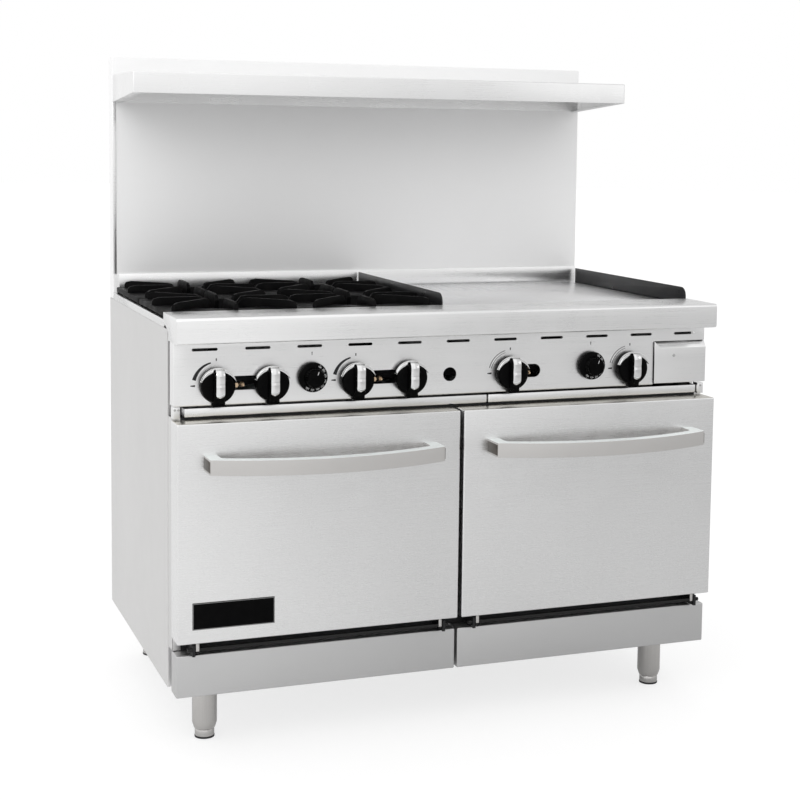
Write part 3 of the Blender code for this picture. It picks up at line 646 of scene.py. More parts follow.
def make_legs():
    for row, place in CORNERS:
        corner = row + "_" + place
        tube_node, foot_node = "leg_tube_" + corner, "leg_foot_" + corner
        low, high = corners(tube_node)
        foot_low, foot_high = corners(foot_node)
        x, y = (low.x + high.x) / 2, (low.y + high.y) / 2
        top = high.z
        flange = (high.x - low.x) / 2
        radius = flange - 0.019
        bore = 0.0142
        shoulder = low.z
        profile = [(bore, top), (flange, top), (flange, top - 0.0030), (flange - 0.0008, top - 0.0040),
                   (radius + 0.003, top - 0.0042), (radius + 0.0008, top - 0.0052), (radius, top - 0.0075),
                   (radius, 0.0325), (radius - 0.0006, 0.0305), (radius - 0.0036, shoulder + 0.0012),
                   (radius - 0.0046, shoulder), (bore, shoulder)]
        shape = turned(profile, 64, closed=True)
        piece("leg_barrel_" + corner, moved(shape, Matrix.Translation((x, y, 0))), LEG_STEEL,
              "range_body", (tube_node,))
        around = [(x + dx, y + dy, top - 0.0042) for dx, dy in
                  ((flange - 0.0075, 0), (-flange + 0.0075, 0), (0, flange - 0.0075), (0, -flange + 0.0075))]
        screws("leg_flange_screws_" + corner, around,
               lambda p: Matrix.Translation(Vector(p)) @ Matrix.Rotation(math.pi, 4, "X"), radius=0.0032)

        outer = (foot_high.x - foot_low.x) / 2
        top_of_foot = 0.0195
        stem = 0.0128
        profile = [(0.0, foot_high.z), (stem - 0.001, foot_high.z)]
        threads = 26
        for i in range(threads):
            z = foot_high.z - 0.002 - i * 0.003
            profile += [(stem, z), (stem - 0.0012, z - 0.0015)]
        profile += [(stem, top_of_foot + 0.0006), (outer - 0.0022, top_of_foot),
                    (outer - 0.0007, top_of_foot - 0.0007), (outer, top_of_foot - 0.0022), (outer, 0.0042),
                    (outer - 0.0005, 0.0022), (outer - 0.0025, 0.0), (0.0, 0.0)]
        shape = moved(turned(profile, 64), Matrix.Translation((x, y, 0)))
        piece("leg_foot_turned_" + corner, shape, TURNED_STEEL, "foot_" + corner,
              (foot_node,))
        pad = turned([(outer - 0.0030, 0.0001), (outer + 0.0004, 0.0006), (outer + 0.0006, 0.0040),
                      (outer + 0.0001, 0.0046), (outer - 0.0030, 0.0046)], 64, closed=True)
        piece("leg_pad_" + corner, moved(pad, Matrix.Translation((x, y, 0))), MARK_BLACK,
              "foot_" + corner)


# ---------------------------------------------------------------- ovens and doors

def make_ovens():
    for place in PLACES:
        keep("oven_liner_" + place, ALUMINISED, 0.0010)
        keep("oven_burner_" + place, ALUMINISED)
        low, high = corners("oven_rack_" + place)
        centre = (low.z + high.z) / 2
        border, wire = 0.0030, 0.0019
        left, right, front, back = low.x + border, high.x - border, low.y + border, high.y - border
        path = [(x, y, centre) for x, y in rectangle(left, right, front, back)]
        wires = [rod_along(softened(path, 0.02, closed=True), border - 0.0002, closed=True)]
        count = 22
        for i in range(1, count):
            x = low.x + (high.x - low.x) * i / count
            wires.append(rod_along([(x, front, high.z - wire), (x, back, high.z - wire)], wire))
        below = low.z + wire - 0.0004
        for t in (0.33, 0.67):
            y = low.y + (high.y - low.y) * t
            wires.append(rod_along([(left, y, below), (right, y, below)], wire))
        piece("oven_rack_wires_" + place, merged(wires), CHROME_WIRE, "rack_" + place,
              ("oven_rack_" + place,))


HANDLE_BOW = 0.050


def handle_form(low, high, door_front):
    """Bowed grip bar with rounded edges, whose ends return to the door."""
    bar, foot = 0.024, 0.026
    left, right = low.x, high.x
    middle, half = (left + right) / 2, (right - left) / 2
    radius = (half * half + HANDLE_BOW * HANDLE_BOW) / (2 * HANDLE_BOW)
    centre = -low.y - radius

    def arc(reach_radius, reach, steps=48):
        angle = math.asin(reach / reach_radius)
        return [(middle + reach_radius * math.sin(t), centre + reach_radius * math.cos(t), 0.0)
                for t in (angle * (2 * i / steps - 1) for i in range(steps + 1))]

    base = -door_front + 0.0003
    outer = arc(radius, half)
    inner = arc(radius - bar, half - foot)
    path = ([(left, base, 0.0)] + outer + [(right, base, 0.0), (right - foot, base, 0.0)] + inner[::-1]
            + [(left + foot, base, 0.0)])
    corner_radius = {outer[0]: 0.0035, outer[-1]: 0.0035, inner[0]: 0.010, inner[-1]: 0.010}
    loop = []
    for i, here in enumerate(path):
        if here not in corner_radius:
            loop.append(here)
            continue
        before, spot, after = Vector(path[i - 1]), Vector(here), Vector(path[(i + 1) % len(path)])
        reach = corner_radius[here]
        loop += bend(before, spot, after, min(reach, (before - spot).length),
                     min(reach, (after - spot).length))
    bm = flat([[(x, -d) for x, d, _ in loop]], high.z - low.z)
    bmesh.ops.translate(bm, vec=(0, 0, (low.z + high.z) / 2), verts=bm.verts)
    return bm


def make_doors():
    for place in PLACES:
        body = "door_" + place
        low, high = corners("door_skin_" + place)
        shape, walls = folded(low, high, [(0, 1, 0)], 0.0030, segments=4)
        piece("door_outer_" + place, shape, DOOR_STEEL_SHADED_TOP, body,
              ("door_skin_" + place,), walls)

        liner_low, liner_high = corners("door_liner_" + place)
        back = liner_high.y
        shape, walls = folded(liner_low, liner_high, [(0, -1, 0)], 0.0025)
        piece("door_inner_" + place, shape, ALUMINISED, body,
              ("door_liner_" + place,), walls)
        middle_x, middle_z = (liner_low.x + liner_high.x) / 2, (liner_low.z + liner_high.z) / 2
        boss = rounded(block((middle_x - 0.205, back - 0.0002, middle_z - 0.150),
                             (middle_x + 0.205, back + 0.0010, middle_z + 0.150)), 0.0009, 3)
        piece("door_inner_panel_" + place, boss, ALUMINISED, body)
        places = [(x, back, z) for x in (liner_low.x + 0.014, middle_x, liner_high.x - 0.014)
                  for z in (liner_low.z + 0.014, liner_high.z - 0.014)]
        screws("door_inner_screws_" + place, places, facing_back, body, 0.003)

        handle_low, handle_high = corners("door_handle_" + place)
        piece("door_grip_" + place, handle_form(handle_low, handle_high, low.y), HANDLE_METAL_LIT_TOP, body,
              ("door_handle_" + place,), (bevelled(0.0038, 4, 50.0),), sharp=60.0)

        # Thin dark plates over the grip's end faces: painted shade.
        ends = []
        for x, outward in ((handle_low.x, -1), (handle_high.x, 1)):
            end = (x + outward * 0.0004, handle_low.y + HANDLE_BOW + 0.0008, handle_high.z - 0.0040)
            start = (x - outward * 0.0006, low.y - 0.0008, handle_low.z + 0.0040)
            ends.append(rounded(block([min(pair) for pair in zip(start, end)],
                                      [max(pair) for pair in zip(start, end)]), 0.0003, 2))
        piece("door_grip_end_shade_" + place, merged(ends), HANDLE_END_SHADE, body)

        keep("door_hinge_rod_" + place, ROD_STEEL, 0.0004)
        rod_low, rod_high = corners("door_hinge_rod_" + place)
        lugs = [rounded(block((x - 0.0034, rod_low.y - 0.0003, rod_low.z + 0.004),
                              (x + 0.0034, rod_low.y + 0.0030, rod_high.z - 0.0003)), 0.0004, 2)
                for x in (rod_low.x + 0.0200, rod_high.x - 0.0200)]
        piece("hinge_lug_plates_" + place, merged(lugs), TURNED_STEEL, body)


def make_nameplate():
    """Plain black plate with a thin rule near its edge, low on the left door."""
    low = corners("door_skin_left")[0]
    width, tall = 0.170, 0.055
    x0, z0 = low.x + 0.031, low.z + 0.029
    front = low.y
    plate = rounded(block((x0, front - 0.0014, z0), (x0 + width, front - 0.0001, z0 + tall)), 0.0006, 2)
    piece("door_plate", plate, PLATE_BLACK, "door_left")
    edge, line = 0.0008, 0.0011
    x1, z1 = x0 + width, z0 + tall
    inset = edge + line
    outer = rectangle(x0 + edge, x1 - edge, z0 + edge, z1 - edge)
    inner = rectangle(x0 + inset, x1 - inset, z0 + inset, z1 - inset)
    rule = moved(flat([outer, inner], 0.0003), Matrix.Translation((0, front - 0.00145, 0)) @ UPRIGHT)
    piece("door_plate_rule", rule, RULE_GREY, "door_left")


# ---------------------------------------------------------------- cooktop

def grate_form(node):
    """Cast grate: frame, sunken bowl round the burner, and tapered fins that rise above the frame."""
    low, high = corners(node)
    x, y = (low.x + high.x) / 2, (low.y + high.y) / 2
    half_x, half_y = (high.x - low.x) / 2, (high.y - low.y) / 2
    frame_top = high.z - 0.0165
    frame_bottom = low.z + 0.0037
    hole = 0.1045
    outline = rectangle(x - half_x, x + half_x, y - half_y, y + half_y)
    outline = [(p.x, p.y) for p in softened([(a, b, 0) for a, b in outline], 0.008, 4, closed=True)]
    plate = flat([outline, ring(x, y, hole, 72)], frame_top - frame_bottom, 0.0016)
    bmesh.ops.translate(plate, vec=(0, 0, (frame_top + frame_bottom) / 2), verts=plate.verts)
    shapes = [plate]

    bowl = turned([(hole + 0.004, frame_top - 0.0006), (hole - 0.001, frame_top - 0.0006),
                   (0.096, frame_top - 0.009), (0.080, frame_top - 0.021), (0.064, frame_top - 0.027),
                   (0.062, frame_top - 0.0305), (0.081, frame_top - 0.0255), (0.099, frame_top - 0.0125),
                   (hole + 0.004, frame_top - 0.0060)],
                  72, closed=True)
    shapes.append(moved(bowl, Matrix.Translation((x, y, 0))))

    thin, wide = 0.0068, 0.0090
    for i in range(8):
        angle = math.tau * i / 8
        if i % 2:
            reach = (half_y - 0.010) / abs(math.sin(angle))
        else:
            reach = half_x if i % 4 == 0 else half_y
        reach -= 0.001
        start = 0.034 if i % 2 == 0 else 0.046
        top = high.z - 0.0004
        profile = [(start, top - 0.013), (start + 0.010, top - 0.0015), (start + 0.022, top),
                   (reach - 0.016, top), (reach - 0.004, top - 0.003), (reach, top - 0.009),
                   (reach, frame_bottom + 0.0006), (0.104, frame_bottom + 0.0006),
                   (0.082, frame_bottom - 0.012), (0.066, frame_bottom - 0.018),
                   (start + 0.006, frame_bottom - 0.010)]
        fin = flat([profile], wide, 0.0007)
        for vert in fin.verts:
            if vert.co.y > top - 0.004:
                vert.co.z *= thin / wide
        shapes.append(moved(fin, Matrix.Translation((x, y, 0)) @ Matrix.Rotation(angle, 4, "Z") @ UPRIGHT))

    feet = []
    for foot_x in (x - (half_x - 0.006), x + (half_x - 0.006)):
        for foot_y in (y - (half_y - 0.012), y + (half_y - 0.012)):
            feet.append(block((foot_x - 0.005, foot_y - 0.006, low.z),
                              (foot_x + 0.005, foot_y + 0.006, frame_bottom + 0.002)))
    return merged(shapes + feet)


def make_burners_and_grates():
    for row, place in CORNERS:
        grate = "grate_%s_%s" % (row, place)
        piece("cast_" + grate, grate_form(grate), CAST_IRON, grate + "_lift", (grate,))
        burner = "burner_%s_%s" % (row, place)
        keep(burner, BURNER_IRON, 0.0010)
        high = corners(burner)[1]
        grate_low, grate_high = corners(grate)
        x, y = (grate_low.x + grate_high.x) / 2, (grate_low.y + grate_high.y) / 2
        ports = []
        count = 28
        for i in range(count):
            port = turned([(0.0, 0.0), (0.0019, 0.0), (0.0019, 0.0012), (0.0012, 0.0012), (0.0012, 0.0006),
                           (0.0, 0.0006)], 10)
            around = Matrix.Rotation(math.tau * i / count, 4, "Z")
            outward = Matrix.Rotation(math.radians(100), 4, "Y")
            rim = Matrix.Translation((0.0462, 0, high.z - 0.0125))
            ports.append(moved(port, Matrix.Translation((x, y, 0)) @ around @ rim @ outward))
        cap = turned([(0.0, high.z - 0.0010), (0.012, high.z - 0.0006), (0.0185, high.z - 0.0002),
                      (0.0225, high.z + 0.0006), (0.0265, high.z - 0.0002), (0.0265, high.z - 0.004),
                      (0.0, high.z - 0.006)], 48)
        ports.append(moved(cap, Matrix.Translation((x, y, 0))))
        piece(burner + "_ports", merged(ports), BURNER_IRON, "range_body")


def make_griddle():
    keep("griddle_plate", GRIDDLE, 0.0010)
    for place in PLACES:
        keep("griddle_splash_" + place, BLACK_ENAMEL, 0.0010)
        keep("griddle_burner_" + place, ALUMINISED)


# ---------------------------------------------------------------- control panel

KNOBS = ["burner_knob_%d" % i for i in range(1, 7)]
DIALS = ["oven_dial_left", "oven_dial_right"]
SHAFT_HOLE = 0.0095
SIGHT_HOLE_X, SIGHT_HOLE_Z, SIGHT_HOLE_RADIUS = -0.012, 0.757, 0.015
PILOT_SLOTS = ((-0.500, -0.425), (-0.204, -0.124), (0.147, 0.200))
PILOT_SLOT_Z = (0.743, 0.772)
PILOT_X = (-0.462, -0.165, 0.176)
VENTS, VENT_FIRST, VENT_LAST, VENT_WIDTH = 11, -0.569, 0.529, 0.053
VENT_Z = (0.825, 0.831)
PANEL_FOOT_Z, PANEL_SCREW_Z = 0.6895, 0.7075


def axis_of(node):
    """Where a knob's own turning axis meets the control panel."""
    joint = next(j for j in frame["joints"] if j["child"] == NODES[node]["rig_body"])
    x, _, z = joint["pos_m"]
    return Vector((x, corners("control_panel")[0].y, z))


def make_control_panel():
    low, high = corners("control_panel")
    drawer_low, drawer_high = corners("grease_drawer")
    face = low.y
    shape, walls = folded(low, high, [(0, 1, 0)], 0.0024)

    def through(outline):
        return moved(flat([outline], 0.04), Matrix.Translation((0, face, 0)) @ UPRIGHT)

    holes = [through(ring(spot.x, spot.z, SHAFT_HOLE, 32)) for spot in (axis_of(n) for n in KNOBS + DIALS)]
    holes.append(through(ring(SIGHT_HOLE_X, SIGHT_HOLE_Z, SIGHT_HOLE_RADIUS, 48)))
    for first, last in PILOT_SLOTS:
        holes.append(through(slot_outline(first, last, *PILOT_SLOT_Z, 12)))
    pitch = (VENT_LAST - VENT_FIRST) / (VENTS - 1)
    for i in range(VENTS):
        start = VENT_FIRST + i * pitch
        holes.append(through(slot_outline(start, start + VENT_WIDTH, *VENT_Z, 6)))
    corner = block((drawer_low.x - 0.001, face - 0.02, low.z - 0.01),
                   (high.x + 0.01, face + 0.04, drawer_high.z + 0.0006))
    piece("control_panel_sheet", as_bmesh(finished(shape, walls)), PANEL_STEEL, "range_body",
          ("control_panel",), (minus(holes + [corner]),))
    feet = []
    for left, right in ((low.x, low.x + 0.0145), (high.x - 0.0150, high.x)):
        foot = without(block((left, face, PANEL_FOOT_Z), (right, face + 0.020, low.z - 0.0002)), (0, 1, 0))
        feet.append(rounded(foot, 0.0008, 2))
    piece("panel_feet", merged(feet), PANEL_STEEL, "range_body", (), (sheet(),))
    places = [(x, face, PANEL_SCREW_Z) for x in (low.x + 0.0036, low.x + 0.0108, high.x - 0.0075)]
    screws("control_panel_screws", places, facing_front, radius=0.0026)

def make_pilots():
    """Brass pilot valves behind the pilot slots."""
    face = corners("control_panel")[0].y
    for number, x in enumerate(PILOT_X, start=1):
        body = turned([(0.0, 0.0), (0.0062, 0.0), (0.0062, 0.006), (0.0048, 0.0075), (0.0048, 0.013),
                       (0.0034, 0.014), (0.0, 0.014)], 6)
        stem = turned([(0.0, 0.010), (0.0026, 0.010), (0.0026, 0.0180), (0.0020, 0.0186), (0.0, 0.0186)], 24)
        nut = turned([(0.0, 0.0), (0.0052, 0.0), (0.0052, 0.008), (0.0, 0.008)], 6)
        place = facing_front((x, face + 0.021, 0.752))
        side = facing_front((x - 0.013, face + 0.019, 0.7515))
        shapes = [moved(body, place), moved(stem, place), moved(nut, side)]
        piece("pilot_valve_%d" % number, merged(shapes), BRASS, "range_body")


def wedge_arc(centre, radius, width_from, width_to, steps=24):
    """An arc over the upper left of a knob, whose width changes evenly along it."""
    start, sweep = math.radians(166), math.radians(-62)

    def edge(side):
        out = []
        for i in range(steps + 1):
            reach = radius + side * (width_from + (width_to - width_from) * i / steps) / 2
            angle = start + sweep * i / steps
            out.append((centre.x + reach * math.cos(angle), centre.z + reach * math.sin(angle)))
        return out
    return edge(1) + edge(-1)[::-1]


def make_marks():
    """Printed flame wedges and ticks round the knobs, and ticks above the dials."""
    face = corners("control_panel")[0].y
    depth = 0.00016
    shapes = []

    def printed(outline):
        shapes.append(moved(flat([outline], depth), Matrix.Translation((0, face - depth / 2, 0)) @ UPRIGHT))

    def tick(spot, half_foot, foot, half_head, head):
        printed([(spot.x - half_foot, spot.z + foot), (spot.x + half_foot, spot.z + foot),
                 (spot.x + half_head, spot.z + head), (spot.x - half_head, spot.z + head)])

    for index in (0, 2, 4, 5):
        spot = axis_of(KNOBS[index])
        if index < 4:
            printed(wedge_arc(spot, 0.0470, 0.0080, 0.0030))
        else:
            printed(wedge_arc(spot, 0.0496, 0.0018, 0.0010))
            printed(wedge_arc(spot, 0.0450, 0.0016, 0.0006))
        tick(spot, 0.0009, 0.0490, 0.0013, 0.0545)
        printed([(spot.x - 0.0530, spot.z - 0.0010), (spot.x - 0.0435, spot.z - 0.0020),
                 (spot.x - 0.0435, spot.z + 0.0020), (spot.x - 0.0530, spot.z + 0.0010)])
    for node in DIALS:
        spot = axis_of(node)
        tick(spot, 0.0005, 0.045, 0.0010, 0.052)
    piece("panel_marks", merged(shapes), MARK_BLACK, "range_body")


def knob_body():
    """Black moulded knob: stepped disc, raised grip bar and blunt pointer tail, facing +Z."""
    disc = turned([(0.0, 0.0245), (0.026, 0.0245), (0.0300, 0.0238), (0.0335, 0.0215), (0.0352, 0.0180),
                   (0.0358, 0.0120), (0.0358, 0.0065), (0.0350, 0.0057), (0.0085, 0.0057), (0.0085, -0.0180),
                   (0.0, -0.0180)], 72)
    side = [(-0.0375, 0.012), (-0.0395, 0.020), (-0.0360, 0.0250), (-0.022, 0.0340), (-0.006, 0.0378),
            (0.018, 0.0380), (0.0300, 0.0330), (0.0350, 0.0250), (0.0356, 0.012)]
    grip = moved(flat([side], 0.0230, 0.0030), Matrix.Rotation(math.pi / 2, 4, "Z") @ Matrix.Rotation(
        math.pi / 2, 4, "X"))
    tail = [(-0.0135, -0.020), (-0.0135, -0.0385), (-0.0105, -0.0415), (0.0105, -0.0415), (0.0135, -0.0385),
            (0.0135, -0.020)]
    tail = moved(flat([tail], 0.0150, 0.0016), Matrix.Translation((0, 0, 0.0150)))
    return merged([disc, grip, tail])


def knob_trim():
    """Chrome trim: a strip down the grip and a crescent over the top of the disc, facing +Z."""
    steps = 28
    bm = bmesh.new()
    rows = []
    for i in range(steps + 1):
        t = i / steps
        y = 0.0362 - 0.0580 * t
        rise = 0.0408 - 0.0085 * max(0.0, (0.24 - t) / 0.24) ** 2
        rise -= 0.0008 * math.exp(-((t - 0.5) / 0.09) ** 2)
        rise -= 0.0050 * max(0.0, (t - 0.72) / 0.28) ** 2
        half = 0.0088 * math.sqrt(max(0.0, 1 - max(0.0, (t - 0.86) / 0.145) ** 2))
        across = [j / 4 - 1 for j in range(9)]
        rows.append([bm.verts.new((half * s, y, rise - 0.0016 * s * s + 0.0010)) for s in across])
    for first, second in zip(rows, rows[1:]):
        for j in range(8):
            bm.faces.new((first[j], second[j], second[j + 1], first[j + 1]))
    bmesh.ops.recalc_face_normals(bm, faces=bm.faces)
    if sum(f.normal.z for f in bm.faces) < 0:
        bmesh.ops.reverse_faces(bm, faces=bm.faces)
    strip = as_bmesh(finished(bm, (("SOLIDIFY", {"thickness": 0.0025, "offset": -1.0}),)))
    start, sweep = math.radians(15), math.radians(150)
    radius = 0.0372
    count = 48
    inner = []
    for i in range(count, -1, -1):
        angle = start + sweep * i / count
        depth = 0.0075 * math.sin(math.pi * i / count) ** 0.8 + 0.0002
        inner.append(((radius - depth) * math.cos(angle), (radius - depth) * math.sin(angle)))
    outline = ring(0, 0, radius, count, start, sweep) + inner
    crescent = moved(flat([outline], 0.0110, 0.0008), Matrix.Translation((0, 0, 0.0185)))
    return merged([strip, crescent])


def make_knobs():
    body_mesh = finished(knob_body())
    trim_mesh = finished(knob_trim(), sharp=50.0)
    for number, node in enumerate(KNOBS, start=1):
        place = facing_front(axis_of(node))
        for kind, mesh, material, replaced in (("disc", body_mesh, KNOB_BLACK, (node,)),
                                               ("trim", trim_mesh, CHROME, ())):
            copy = mesh.copy()
            copy.transform(place)
            piece("knob_%s_%d" % (kind, number), copy, material, NODES[node]["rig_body"],
                  replaced)


def numeral(text, size):
    """Extruded figures centred on the origin, facing +Z."""
    curve = bpy.data.curves.new("numeral", "FONT")
    curve.body = text
    curve.size = size
    curve.align_x = "CENTER"
    curve.align_y = "CENTER"
    curve.extrude = 0.00015
    return curve_form(curve)


def make_dials():
    for place, node in zip(PLACES, DIALS):
        at = facing_front(axis_of(node))
        disc = turned([(0.0, 0.0340), (0.0150, 0.0340), (0.0175, 0.0332), (0.0190, 0.0312), (0.0196, 0.0250),
                       (0.0204, 0.0165), (0.0216, 0.0150), (0.0285, 0.0132), (0.0302, 0.0122),
                       (0.0310, 0.0100), (0.0310, 0.0062), (0.0302, 0.0054), (0.0085, 0.0054),
                       (0.0085, -0.0180), (0.0, -0.0180)], 72)
        flutes = []
        count = 24
        for i in range(count):
            rib = rod_along([(0.0192, 0, 0.0175), (0.0188, 0, 0.0315)], 0.0010, resolution=2)
            flutes.append(moved(rib, Matrix.Rotation(math.tau * i / count, 4, "Z")))
        body = NODES[node]["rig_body"]
        piece("dial_disc_" + place, moved(merged([disc] + flutes), at), KNOB_BLACK, body,
              (node,))
        marks = []
        for i, degrees in enumerate(range(150, 501, 50)):
            angle = math.radians(60 - 26 * i)
            upright = Matrix.Rotation(angle - math.pi / 2, 4, "Z")
            spot = Matrix.Translation((0.0250 * math.cos(angle), 0.0250 * math.sin(angle), 0.01435))
            marks.append(moved(numeral(str(degrees), 0.0052), spot @ upright))
            tick = block((-0.0003, 0.0280, 0.0131), (0.0003, 0.0296, 0.0137))
            marks.append(moved(tick, upright))
        pointer = block((-0.0005, 0.0080, 0.0339), (0.0005, 0.0150, 0.03425))
        marks.append(moved(pointer, Matrix.Rotation(math.radians(-20), 4, "Z")))
        piece("dial_marks_" + place, moved(merged(marks), at), MARK_WHITE, body)


def make_drawer():
    """Grease drawer: folded pan, and a front whose top edge folds back as a finger lip."""
    low, high = corners("grease_drawer")
    face = low.y
    pan, walls = folded((0.488, face + 0.0042, 0.7225), (0.598, high.y, 0.8050), [(0, 0, 1)], 0.0025)
    piece("drawer_pan", pan, BRUSHED, "drawer", ("grease_drawer",), walls)
    lip, back = 0.0150, 0.0095
    bm = bmesh.new()
    outline = [(low.x, low.z), (high.x, low.z), (high.x, high.z - lip), (low.x + lip, high.z - lip),
               (low.x, high.z)]
    front = [bm.verts.new((x, face, z)) for x, z in outline]
    bm.faces.new(front)
    top = [bm.verts.new((x, face + back, high.z)) for x in (high.x, low.x + 0.0002)]
    bm.faces.new((front[3], front[2], top[0], top[1]))
    bm.faces.new((front[4], front[3], top[1]))
    hem = [bm.verts.new((v.co.x, face + 0.0100, v.co.z)) for v in (front[0], front[1])]
    bm.faces.new((front[1], front[0], hem[0], hem[1]))
    bmesh.ops.recalc_face_normals(bm, faces=bm.faces)
    if min(bm.faces, key=lambda f: f.calc_center_median().y).normal.y > 0:
        bmesh.ops.reverse_faces(bm, faces=bm.faces)
    piece("drawer_front", bm, PANEL_STEEL, "drawer", (),
          (sheet(0.0010), bevelled(0.0004, 2, 20.0)))
    screws("drawer_screw", [((low.x + high.x) / 2 - 0.0165, face, 0.779)], facing_front, "drawer", 0.0036)


def make_trays():
    for place in PLACES:
        node = "crumb_tray_" + place
        low, high = corners(node)
        shape, walls = folded(low, high, [(0, 0, 1)], 0.0030)
        piece("crumb_tray_sheet_" + place, shape, SHELF_STEEL, "tray_" + place, (node,),
              (walls[0], bevelled(0.0004, 2)))


def make_gas_pipe():
    keep("gas_manifold", PIPE_BLACK)
    x, y, z = next(m["pos_m"] for m in frame["record"]["mounts"] if m["name"] == "gas_inlet")
    centre_x = x - 0.0117
    collar = turned([(0.0138, 0.0), (0.0175, 0.0), (0.0185, 0.001), (0.0185, 0.013), (0.0175, 0.014),
                     (0.0138, 0.014)], 32, closed=True)
    nut = moved(turned([(0.0138, 0.0), (0.0205, 0.0), (0.0205, 0.009), (0.0138, 0.009)], 6, closed=True),
                Matrix.Translation((0, 0, 0.014)))
    at = Matrix.Translation((centre_x, y, z)) @ Matrix.Rotation(math.pi / 2, 4, "X")
    piece("gas_inlet_coupling", moved(merged([collar, nut]), at), PIPE_BLACK, "range_body")


# ---------------------------------------------------------------- backguard and shelf

def make_backguard():
    low, high = corners("backguard")
    shape, walls = folded(low, high, [(0, 1, 0)], 0.0026)
    piece("backguard_sheet", shape, GUARD_STEEL, "range_body", ("backguard",), walls)
    face = low.y
    riser = block((low.x + 0.0132, face - 0.0042, low.z + 0.0162), (high.x - 0.0010, face - 0.0002, 0.9265))
    piece("backguard_riser", rounded(without(riser, (0, 1, 0)), 0.0012, 2), SHELF_STEEL, "range_body",
          (), (sheet(0.0010),))
    post = block((low.x, face - 0.0012, 0.9270), (low.x + 0.0080, face - 0.0001, high.z - 0.046))
    piece("backguard_post", rounded(without(post, (0, 1, 0)), 0.0004, 2), SHELF_STEEL, "range_body",
          (), (sheet(0.0008),))


def make_shelf():
    """Folded shelf with a deep lip, whose ends grow deeper towards the back."""
    low, high = corners("high_shelf")
    lip_bottom = 1.350
    bm = block((low.x, low.y, lip_bottom), (high.x, high.y, high.z))
    without(bm, (0, 0, -1))
    for vert in bm.verts:
        if vert.co.y > high.y - 0.001 and vert.co.z < lip_bottom + 0.001:
            vert.co.z = low.z
    rounded(bm, 0.0030, 4)
    piece("high_shelf_sheet", bm, SHELF_STEEL, "range_body", ("high_shelf",),
          (sheet(),))
    front, back = low.y + 0.004, high.y - 0.002
    for place, side in SIDES:
        edge = (low.x if side < 0 else high.x) - side * 0.0016
        hem = edge - side * 0.020
        flange = bmesh.new()
        outline = [(edge, back, low.z), (edge, front, lip_bottom), (hem, front, lip_bottom),
                   (hem, back, low.z)]
        flange.faces.new([flange.verts.new(spot) for spot in outline])
        bmesh.ops.recalc_face_normals(flange, faces=flange.faces)
        piece("shelf_flange_" + place, flange, BRUSHED, "range_body", (),
              (sheet(0.0012, 0.0), bevelled(0.0003, 2)))


# ---------------------------------------------------------------- studio

def make_floor():
    """Pale floor, white to the camera; polished sheets mirror it a little dimmer towards the right."""
    mesh = finished(turned([(0.0, 0.0), (2.0, 0.0), (8.0, 0.0), (40.0, 0.0)], 96))
    mat = Finish("studio_floor", (0.30, 0.30, 0.30), 0.9, 0.0, Emission_Color=(1.0, 1.0, 1.0, 1.0),
                Emission_Strength=0.72)
    mat.tint(mat.spread(mat.noise(0.6, 2.0), 0.99, 1.01))
    across = mat.add("SeparateXYZ", Vector=mat.place).outputs["X"]
    tone = mat.grey(mat.maths("MULTIPLY", mat.spread(across, 0.70, 0.55, -0.6, 0.3),
                              mat.spread(across, 1.0, 0.84, 0.3, 2.5)))
    glow = mat.add("Emission", Color=tone, Strength=0.25)
    both = mat.add("AddShader")
    mat.feed(mat.add("BsdfDiffuse", Color=tone).outputs[0], both, 0)
    mat.feed(glow.outputs[0], both, 1)
    choose = mat.add("MixShader", Fac=mat.add("LightPath").outputs["Is Camera Ray"])
    mat.feed(both.outputs[0], choose, 1)
    mat.feed(mat.shader.outputs[0], choose, 2)
    mat.feed(choose.outputs[0], mat.tree.nodes["Material Output"], "Surface")
    mesh.materials.append(mat.material)
    if mesh.polygons[0].normal.z < 0:
        mesh.flip_normals()
    floor = new_object("studio_floor", mesh)
    floor.location.z = -0.0005


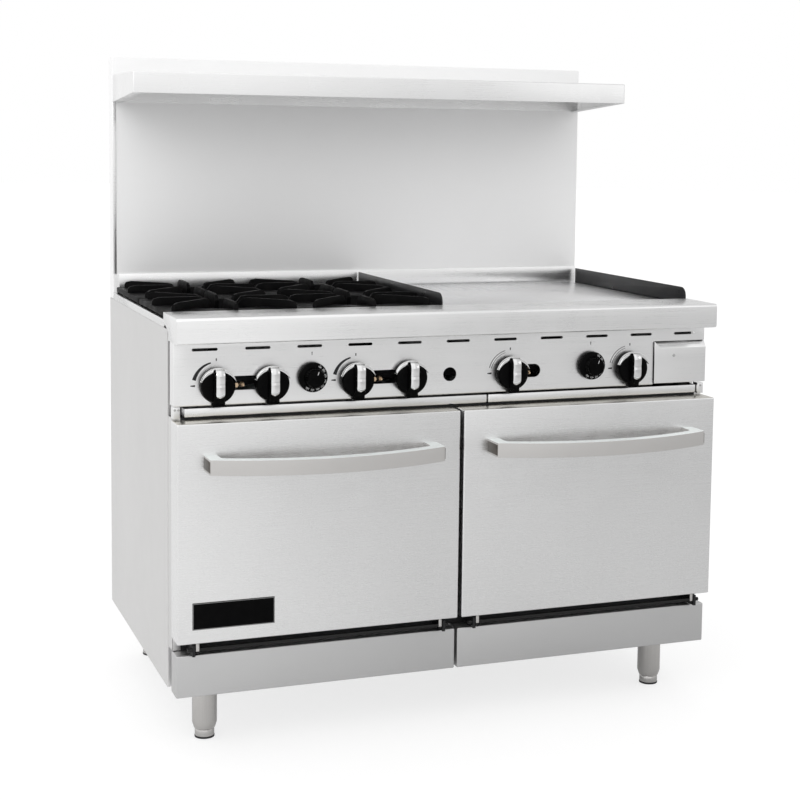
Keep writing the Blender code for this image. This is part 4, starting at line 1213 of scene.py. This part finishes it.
def make_world():
    """White dome, a little dimmer to the front right, and plain white where the camera sees it."""
    world = bpy.data.worlds.new("studio")
    bpy.context.scene.world = world
    world.use_nodes = True
    studio = Tree(world.node_tree)
    parts = studio.add("SeparateXYZ", Vector=studio.add("TexCoord").outputs["Generated"])
    dome = studio.maths("MULTIPLY", studio.spread(parts.outputs["X"], 1.0, 0.72, 0.22, 0.42, "SMOOTHSTEP"),
                        studio.spread(parts.outputs["Z"], 1.0, 1.12, 0.1, 1.0))
    choose = studio.add("Mix", Factor=studio.add("LightPath").outputs["Is Camera Ray"], A=dome, B=1.0)
    background = studio.tree.nodes["Background"]
    studio.feed(choose.outputs["Result"], background, "Strength")
    studio.feed((1.0, 1.0, 1.0, 1.0), background, "Color")


def soft_box(name, place, target, size, power):
    light = bpy.data.lights.new(name, "AREA")
    light.shape = "RECTANGLE"
    light.size, light.size_y = size
    light.energy = power
    obj = new_object(name, light)
    obj.location = place
    obj.rotation_euler = (Vector(target) - Vector(place)).to_track_quat("-Z", "Y").to_euler()


def make_camera():
    yaw, pitch, roll = math.radians(20.808), math.radians(-5.289), math.radians(0.729)
    forward = Vector((math.sin(yaw) * math.cos(pitch), math.cos(yaw) * math.cos(pitch), math.sin(pitch)))
    right = Vector((math.cos(yaw), -math.sin(yaw), 0.0))
    up = right.cross(forward)
    tilted = right * math.cos(roll) + up * math.sin(roll)
    up = tilted.cross(forward)
    camera = bpy.data.cameras.new("camera")
    camera.sensor_width = 36.0
    camera.lens = 71.9
    camera.shift_x = -0.0318
    camera.shift_y = -0.1385
    camera.clip_end = 200.0
    obj = new_object("camera", camera)
    turn = Matrix((tilted, up, -forward)).transposed().to_4x4()
    obj.matrix_world = Matrix.Translation((-1.26111, -3.41958, 1.25055)) @ turn
    bpy.context.scene.camera = obj


for build in (make_sides, make_base, make_kicks, make_cooktop_frame, make_front_rail, make_front_frame,
              make_legs, make_ovens, make_doors, make_nameplate, make_burners_and_grates, make_griddle,
              make_control_panel, make_pilots, make_marks, make_knobs, make_dials, make_drawer, make_trays,
              make_gas_pipe, make_backguard, make_shelf, make_floor, make_world, make_camera):
    build()
soft_box("key", (-2.6, -3.2, 3.4), (0.0, 0.0, 0.7), (2.4, 2.4), 28.0)
soft_box("fill", (3.2, -2.6, 2.6), (0.0, 0.0, 0.7), (2.4, 2.4), 8.0)
bpy.context.scene.view_settings.view_transform = "Standard"
